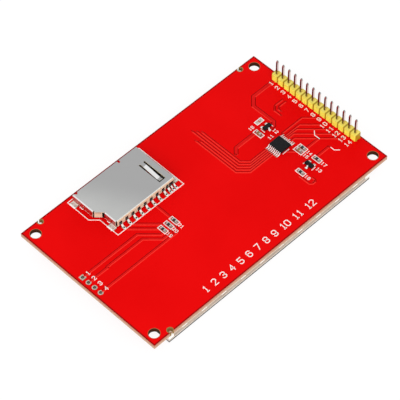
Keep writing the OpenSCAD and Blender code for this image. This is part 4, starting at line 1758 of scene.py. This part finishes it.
@dataclass
class Soldering:
    """Solder at every surface joint: a concave hill from each pad up its lead or cap.

    Each hill is given by its foot, its top and its height.
    """

    board: Board
    pad: float = 0.05
    chip_hill: tuple[Point, Point] = ((0.84, 0.78), (0.7, 0.2))
    chip_share: float = 0.7
    chip_out: float = 0.05
    lead_hill: tuple[Point, Point, float] = ((1.1, 0.34), (0.5, 0.2), 0.11)
    lead_in: float = 0.1
    package_hill: tuple[Point, Point, float] = ((0.8, 0.85), (0.46, 0.3), 0.16)
    package_leads: tuple[Point, ...] = ((-0.95, 1.12), (0.95, 1.12), (0.0, -1.12))
    contact_hill: tuple[Point, Point, float] = ((0.8, 1.1), (0.55, 0.5), 0.15)
    contact_in: float = 0.25
    foot_hill: tuple[Point, Point, float] = ((0.9, 2.5), (0.3, 2.1), 0.15)
    dab_hill: tuple[Point, Point, float] = ((0.5, 1.4), (0.25, 1.1), 0.2)
    # Feet, from the cover's back and sides, the front of the socket's base, and the keyed side
    foot_ends: Point = (1.3, 1.2)
    foot_side: float = 0.05
    keyed_foot: float = 2.25
    # Dabs, from the cover's left and back, and from its left and the front feet
    mouth_dab: Point = (1.35, 3.8)
    keyed_dab: Point = (3.55, 2.0)

    def spot(self, x: float, y: float) -> Vector:
        """A point on a pad's face."""
        return Vector((x, y, self.board.top + self.pad))

    def chips(self, draft: Draft) -> None:
        """Both ends of each chip resistor and capacitor.

        Args:
            draft: The piece that they belong to.
        """
        for node in self.board.resistors + self.board.capacitors:
            low, high = box_mm(node)
            x = (low.x + high.x) / 2
            for y, s in ((low.y, -1), (high.y, 1)):
                height = self.chip_share * (high.z - low.z)
                draft.hill(self.spot(x, y + s * self.chip_out), *self.chip_hill, height)

    def packages(self, draft: Draft) -> None:
        """The leads of the controller, the regulator and the transistor.

        Args:
            draft: The piece that they belong to.
        """
        for side in (-1, 1):
            for row in range(self.board.lead_rows):
                x, y = self.board.controller_lead(row, side)
                draft.hill(self.spot(x - side * self.lead_in, y), *self.lead_hill)
        foot, top, height = self.package_hill
        for node, turned in (("regulator", False), ("transistor", True)):
            x, y = self.board.chip(node)
            for across, out in self.package_leads:
                if turned:
                    draft.hill(self.spot(x + out, y - across), foot[::-1], top[::-1], height)
                else:
                    draft.hill(self.spot(x + across, y + out), foot, top, height)

    def contacts(self, draft: Draft) -> None:
        """The contacts and the switch leads of the card socket.

        Args:
            draft: The piece that they belong to.
        """
        ends = [self.board.contact(i) for i in range(1, self.board.card_contacts + 1)]
        low, high = box_mm("card_switch")
        ends += [(low.x + self.contact_in, low.y), (high.x - self.contact_in, low.y)]
        for x, y in ends:
            draft.hill(self.spot(x, y + self.contact_in), *self.contact_hill)

    def feet(self, draft: Draft) -> None:
        """The four feet of the card socket's cover, and the dabs beside its mouth.

        Args:
            draft: The piece that they belong to.
        """
        low, high = box_mm("card_socket_cover")
        back = high.y - self.foot_ends[0]
        front = box_mm("card_socket_base")[0].y + self.foot_ends[1]
        left, right = low.x + self.foot_side, high.x - self.foot_side
        for x, y in ((left, back), (low.x + self.keyed_foot, front), (right, back), (right, front)):
            draft.hill(self.spot(x, y), *self.foot_hill)
        mouth = (low.x + self.mouth_dab[0], high.y - self.mouth_dab[1])
        keyed = (low.x + self.keyed_dab[0], front + self.keyed_dab[1])
        for x, y in (mouth, keyed):
            draft.hill(self.spot(x, y), *self.dab_hill)

    def build(self) -> None:
        """Solders every joint."""
        build_pieces({"solder_chips": self.chips}, (THIN_SOLDER,), smooth=True)
        build_pieces(
            {
                "solder_packages": self.packages,
                "solder_contacts": self.contacts,
                "solder_feet": self.feet,
            },
            (SOLDER,),
            smooth=True,
        )


# ---------------------------------------------------------------- the studio


@dataclass
class Studio:
    """Pale floor, soft lights and the camera. Its own lengths but the camera's are in metres."""

    azimuth: float = -44.87
    elevation: float = 52.37
    distance: float = 712.04
    lens: float = 215.15
    sensor: float = 36.0
    clip: Point = (0.05, 20.0)
    slide: Point = (1.903, 1.733)
    horizon: float = 1.5
    zenith: float = 0.3
    mirrored_horizon: float = 1.0
    mirrored_zenith: float = 0.75
    panel_size: float = 1.4
    panel_distance: float = 1.2
    panel_elevation: float = 35.0
    panel_power: float = 9.3
    floor_half: float = 3.0
    floor_drop: float = 0.0001
    paper_tone: str = "#E7E7E7"
    lifted_tone: str = "#767676"
    lifted_glow: float = 0.86

    def way_to(self, elevation: float) -> Vector:
        """Unit vector towards a height above the camera's side of the module."""
        a, e = math.radians(self.azimuth), math.radians(elevation)
        return Vector((math.sin(a) * math.cos(e), -math.cos(a) * math.cos(e), math.sin(e)))

    def camera(self, top: float) -> None:
        """Sets the camera on the board's upper face.

        Args:
            top: Height of that face, in millimetres.
        """
        back = self.way_to(self.elevation)
        azimuth = math.radians(self.azimuth)
        right = Vector((math.cos(azimuth), math.sin(azimuth), 0))
        up = back.cross(right)
        eye = Vector((0, 0, top)) + back * self.distance - right * self.slide[0] - up * self.slide[1]
        data = bpy.data.cameras.new("camera")
        data.lens = self.lens
        data.sensor_width = self.sensor
        data.clip_start, data.clip_end = self.clip
        camera = bpy.data.objects.new("camera", data)
        bpy.context.scene.collection.objects.link(camera)
        turned = Matrix((right, up, back)).transposed().to_4x4()
        camera.matrix_world = Matrix.Translation(eye * MM) @ turned
        bpy.context.scene.camera = camera

    def seen(self, tree: Tree) -> Socket:
        """Tells what the camera sees, straight or in metal and glass, from light that bounces.

        Args:
            tree: The material's node tree.

        Returns:
            1 for what the camera sees, 0 for the rest.
        """
        rays = add_node(tree, RAYS)
        seen = rays.outputs["Is Camera Ray"]
        for kind in ("Is Glossy Ray", "Is Transmission Ray"):
            either = add_node(tree, MATH, {"operation": "MAXIMUM"}, {0: seen, 1: rays.outputs[kind]})
            seen = either.outputs["Value"]
        return seen

    def floor(self) -> None:
        """A white floor whose shadows stay faint; from below it is clear, so that the display shows."""
        mesh = bpy.data.meshes.new("floor")
        h, z = self.floor_half, -self.floor_drop
        mesh.from_pydata([(-h, -h, z), (h, -h, z), (h, h, z), (-h, h, z)], [], [(0, 1, 2, 3)])
        floor = bpy.data.objects.new("floor", mesh)
        bpy.context.scene.collection.objects.link(floor)
        paper = bpy.data.materials.new("floor_paper")
        paper.use_nodes = True
        tree = paper.node_tree
        tree.nodes.clear()
        plain = add_node(tree, DIFFUSE, {"Color": linear(self.paper_tone)}).outputs[0]
        soft = add_node(tree, DIFFUSE, {"Color": linear(self.lifted_tone)}).outputs[0]
        glow = add_node(tree, "ShaderNodeEmission", {"Strength": self.lifted_glow}).outputs[0]
        lifted = add_node(tree, "ShaderNodeAddShader", links={0: soft, 1: glow}).outputs[0]
        shown = add_node(tree, SHADER_MIX, links={0: self.seen(tree), 1: plain, 2: lifted}).outputs[0]
        clear = add_node(tree, "ShaderNodeBsdfTransparent").outputs[0]
        below = add_node(tree, FACING).outputs["Backfacing"]
        sided = add_node(tree, SHADER_MIX, links={0: below, 1: shown, 2: clear}).outputs[0]
        add_node(tree, "ShaderNodeOutputMaterial", links={"Surface": sided})
        mesh.materials.append(paper)

    def panel(self) -> None:
        """One large soft light from the camera's side, which no metal mirrors."""
        data = bpy.data.lights.new("soft_panel", "AREA")
        data.shape = "SQUARE"
        data.size = self.panel_size
        data.energy = self.panel_power
        panel = bpy.data.objects.new("soft_panel", data)
        way = self.way_to(self.panel_elevation)
        panel.location = way * self.panel_distance
        panel.rotation_euler = way.to_track_quat("Z", "Y").to_euler()
        panel.visible_camera = False
        panel.visible_glossy = False
        bpy.context.scene.collection.objects.link(panel)

    def room(self) -> None:
        """A pale room that is brighter low down; the camera sees it white, and metal a little greyer."""
        world = bpy.data.worlds.new("room")
        world.use_nodes = True
        tree = world.node_tree
        tree.nodes.clear()
        rays = add_node(tree, RAYS)
        # For a room, these coordinates are the direction looked in
        height = place_along(tree, Axis.Z, Space.OWN_BOX)
        level, mirrored = (
            add_node(tree, RANGE, {"To Min": low, "To Max": high}, {"Value": height}).outputs["Result"]
            for low, high in ((self.horizon, self.zenith), (self.mirrored_horizon, self.mirrored_zenith))
        )
        metal = {"Factor": rays.outputs["Is Glossy Ray"], "A": level, "B": mirrored}
        level = add_node(tree, MIX, links=metal).outputs["Result"]
        for kind in ("Is Camera Ray", "Is Transmission Ray"):
            white = add_node(tree, MIX, {"B": 1.0}, {"Factor": rays.outputs[kind], "A": level})
            level = white.outputs["Result"]
        light = add_node(tree, "ShaderNodeBackground", {"Color": linear("#FFFFFF")}, {"Strength": level})
        add_node(tree, "ShaderNodeOutputWorld", links={"Surface": light.outputs[0]})
        bpy.context.scene.world = world

    def build(self, top: float) -> None:
        """Sets up the whole studio.

        Args:
            top: Height of the board's upper face, in millimetres.
        """
        self.camera(top)
        self.floor()
        self.panel()
        self.room()
        bpy.context.scene.view_settings.view_transform = "Standard"


def dress_nodes() -> None:
    """Gives every CAD node the finish of its material slot."""
    for part in frame["record"]["subparts"]:
        node = frame["nodes"][part["node"]]
        finish = SLOT_FINISHES[part["material_slot"]]
        node.data.materials.clear()
        node.data.materials.append(finish.material())
        LOG.info("%s: %s", part["node"], finish.name)


def main() -> None:
    """Builds the sub-assemblies in order."""
    logging.basicConfig(level=logging.INFO, format="%(message)s")
    board = Board()
    Studio().build(board.top)
    dress_nodes()
    Tracks(board).build()
    Legend(board).build()
    Soldering(board).build()


if __name__ == "__main__":
    main()
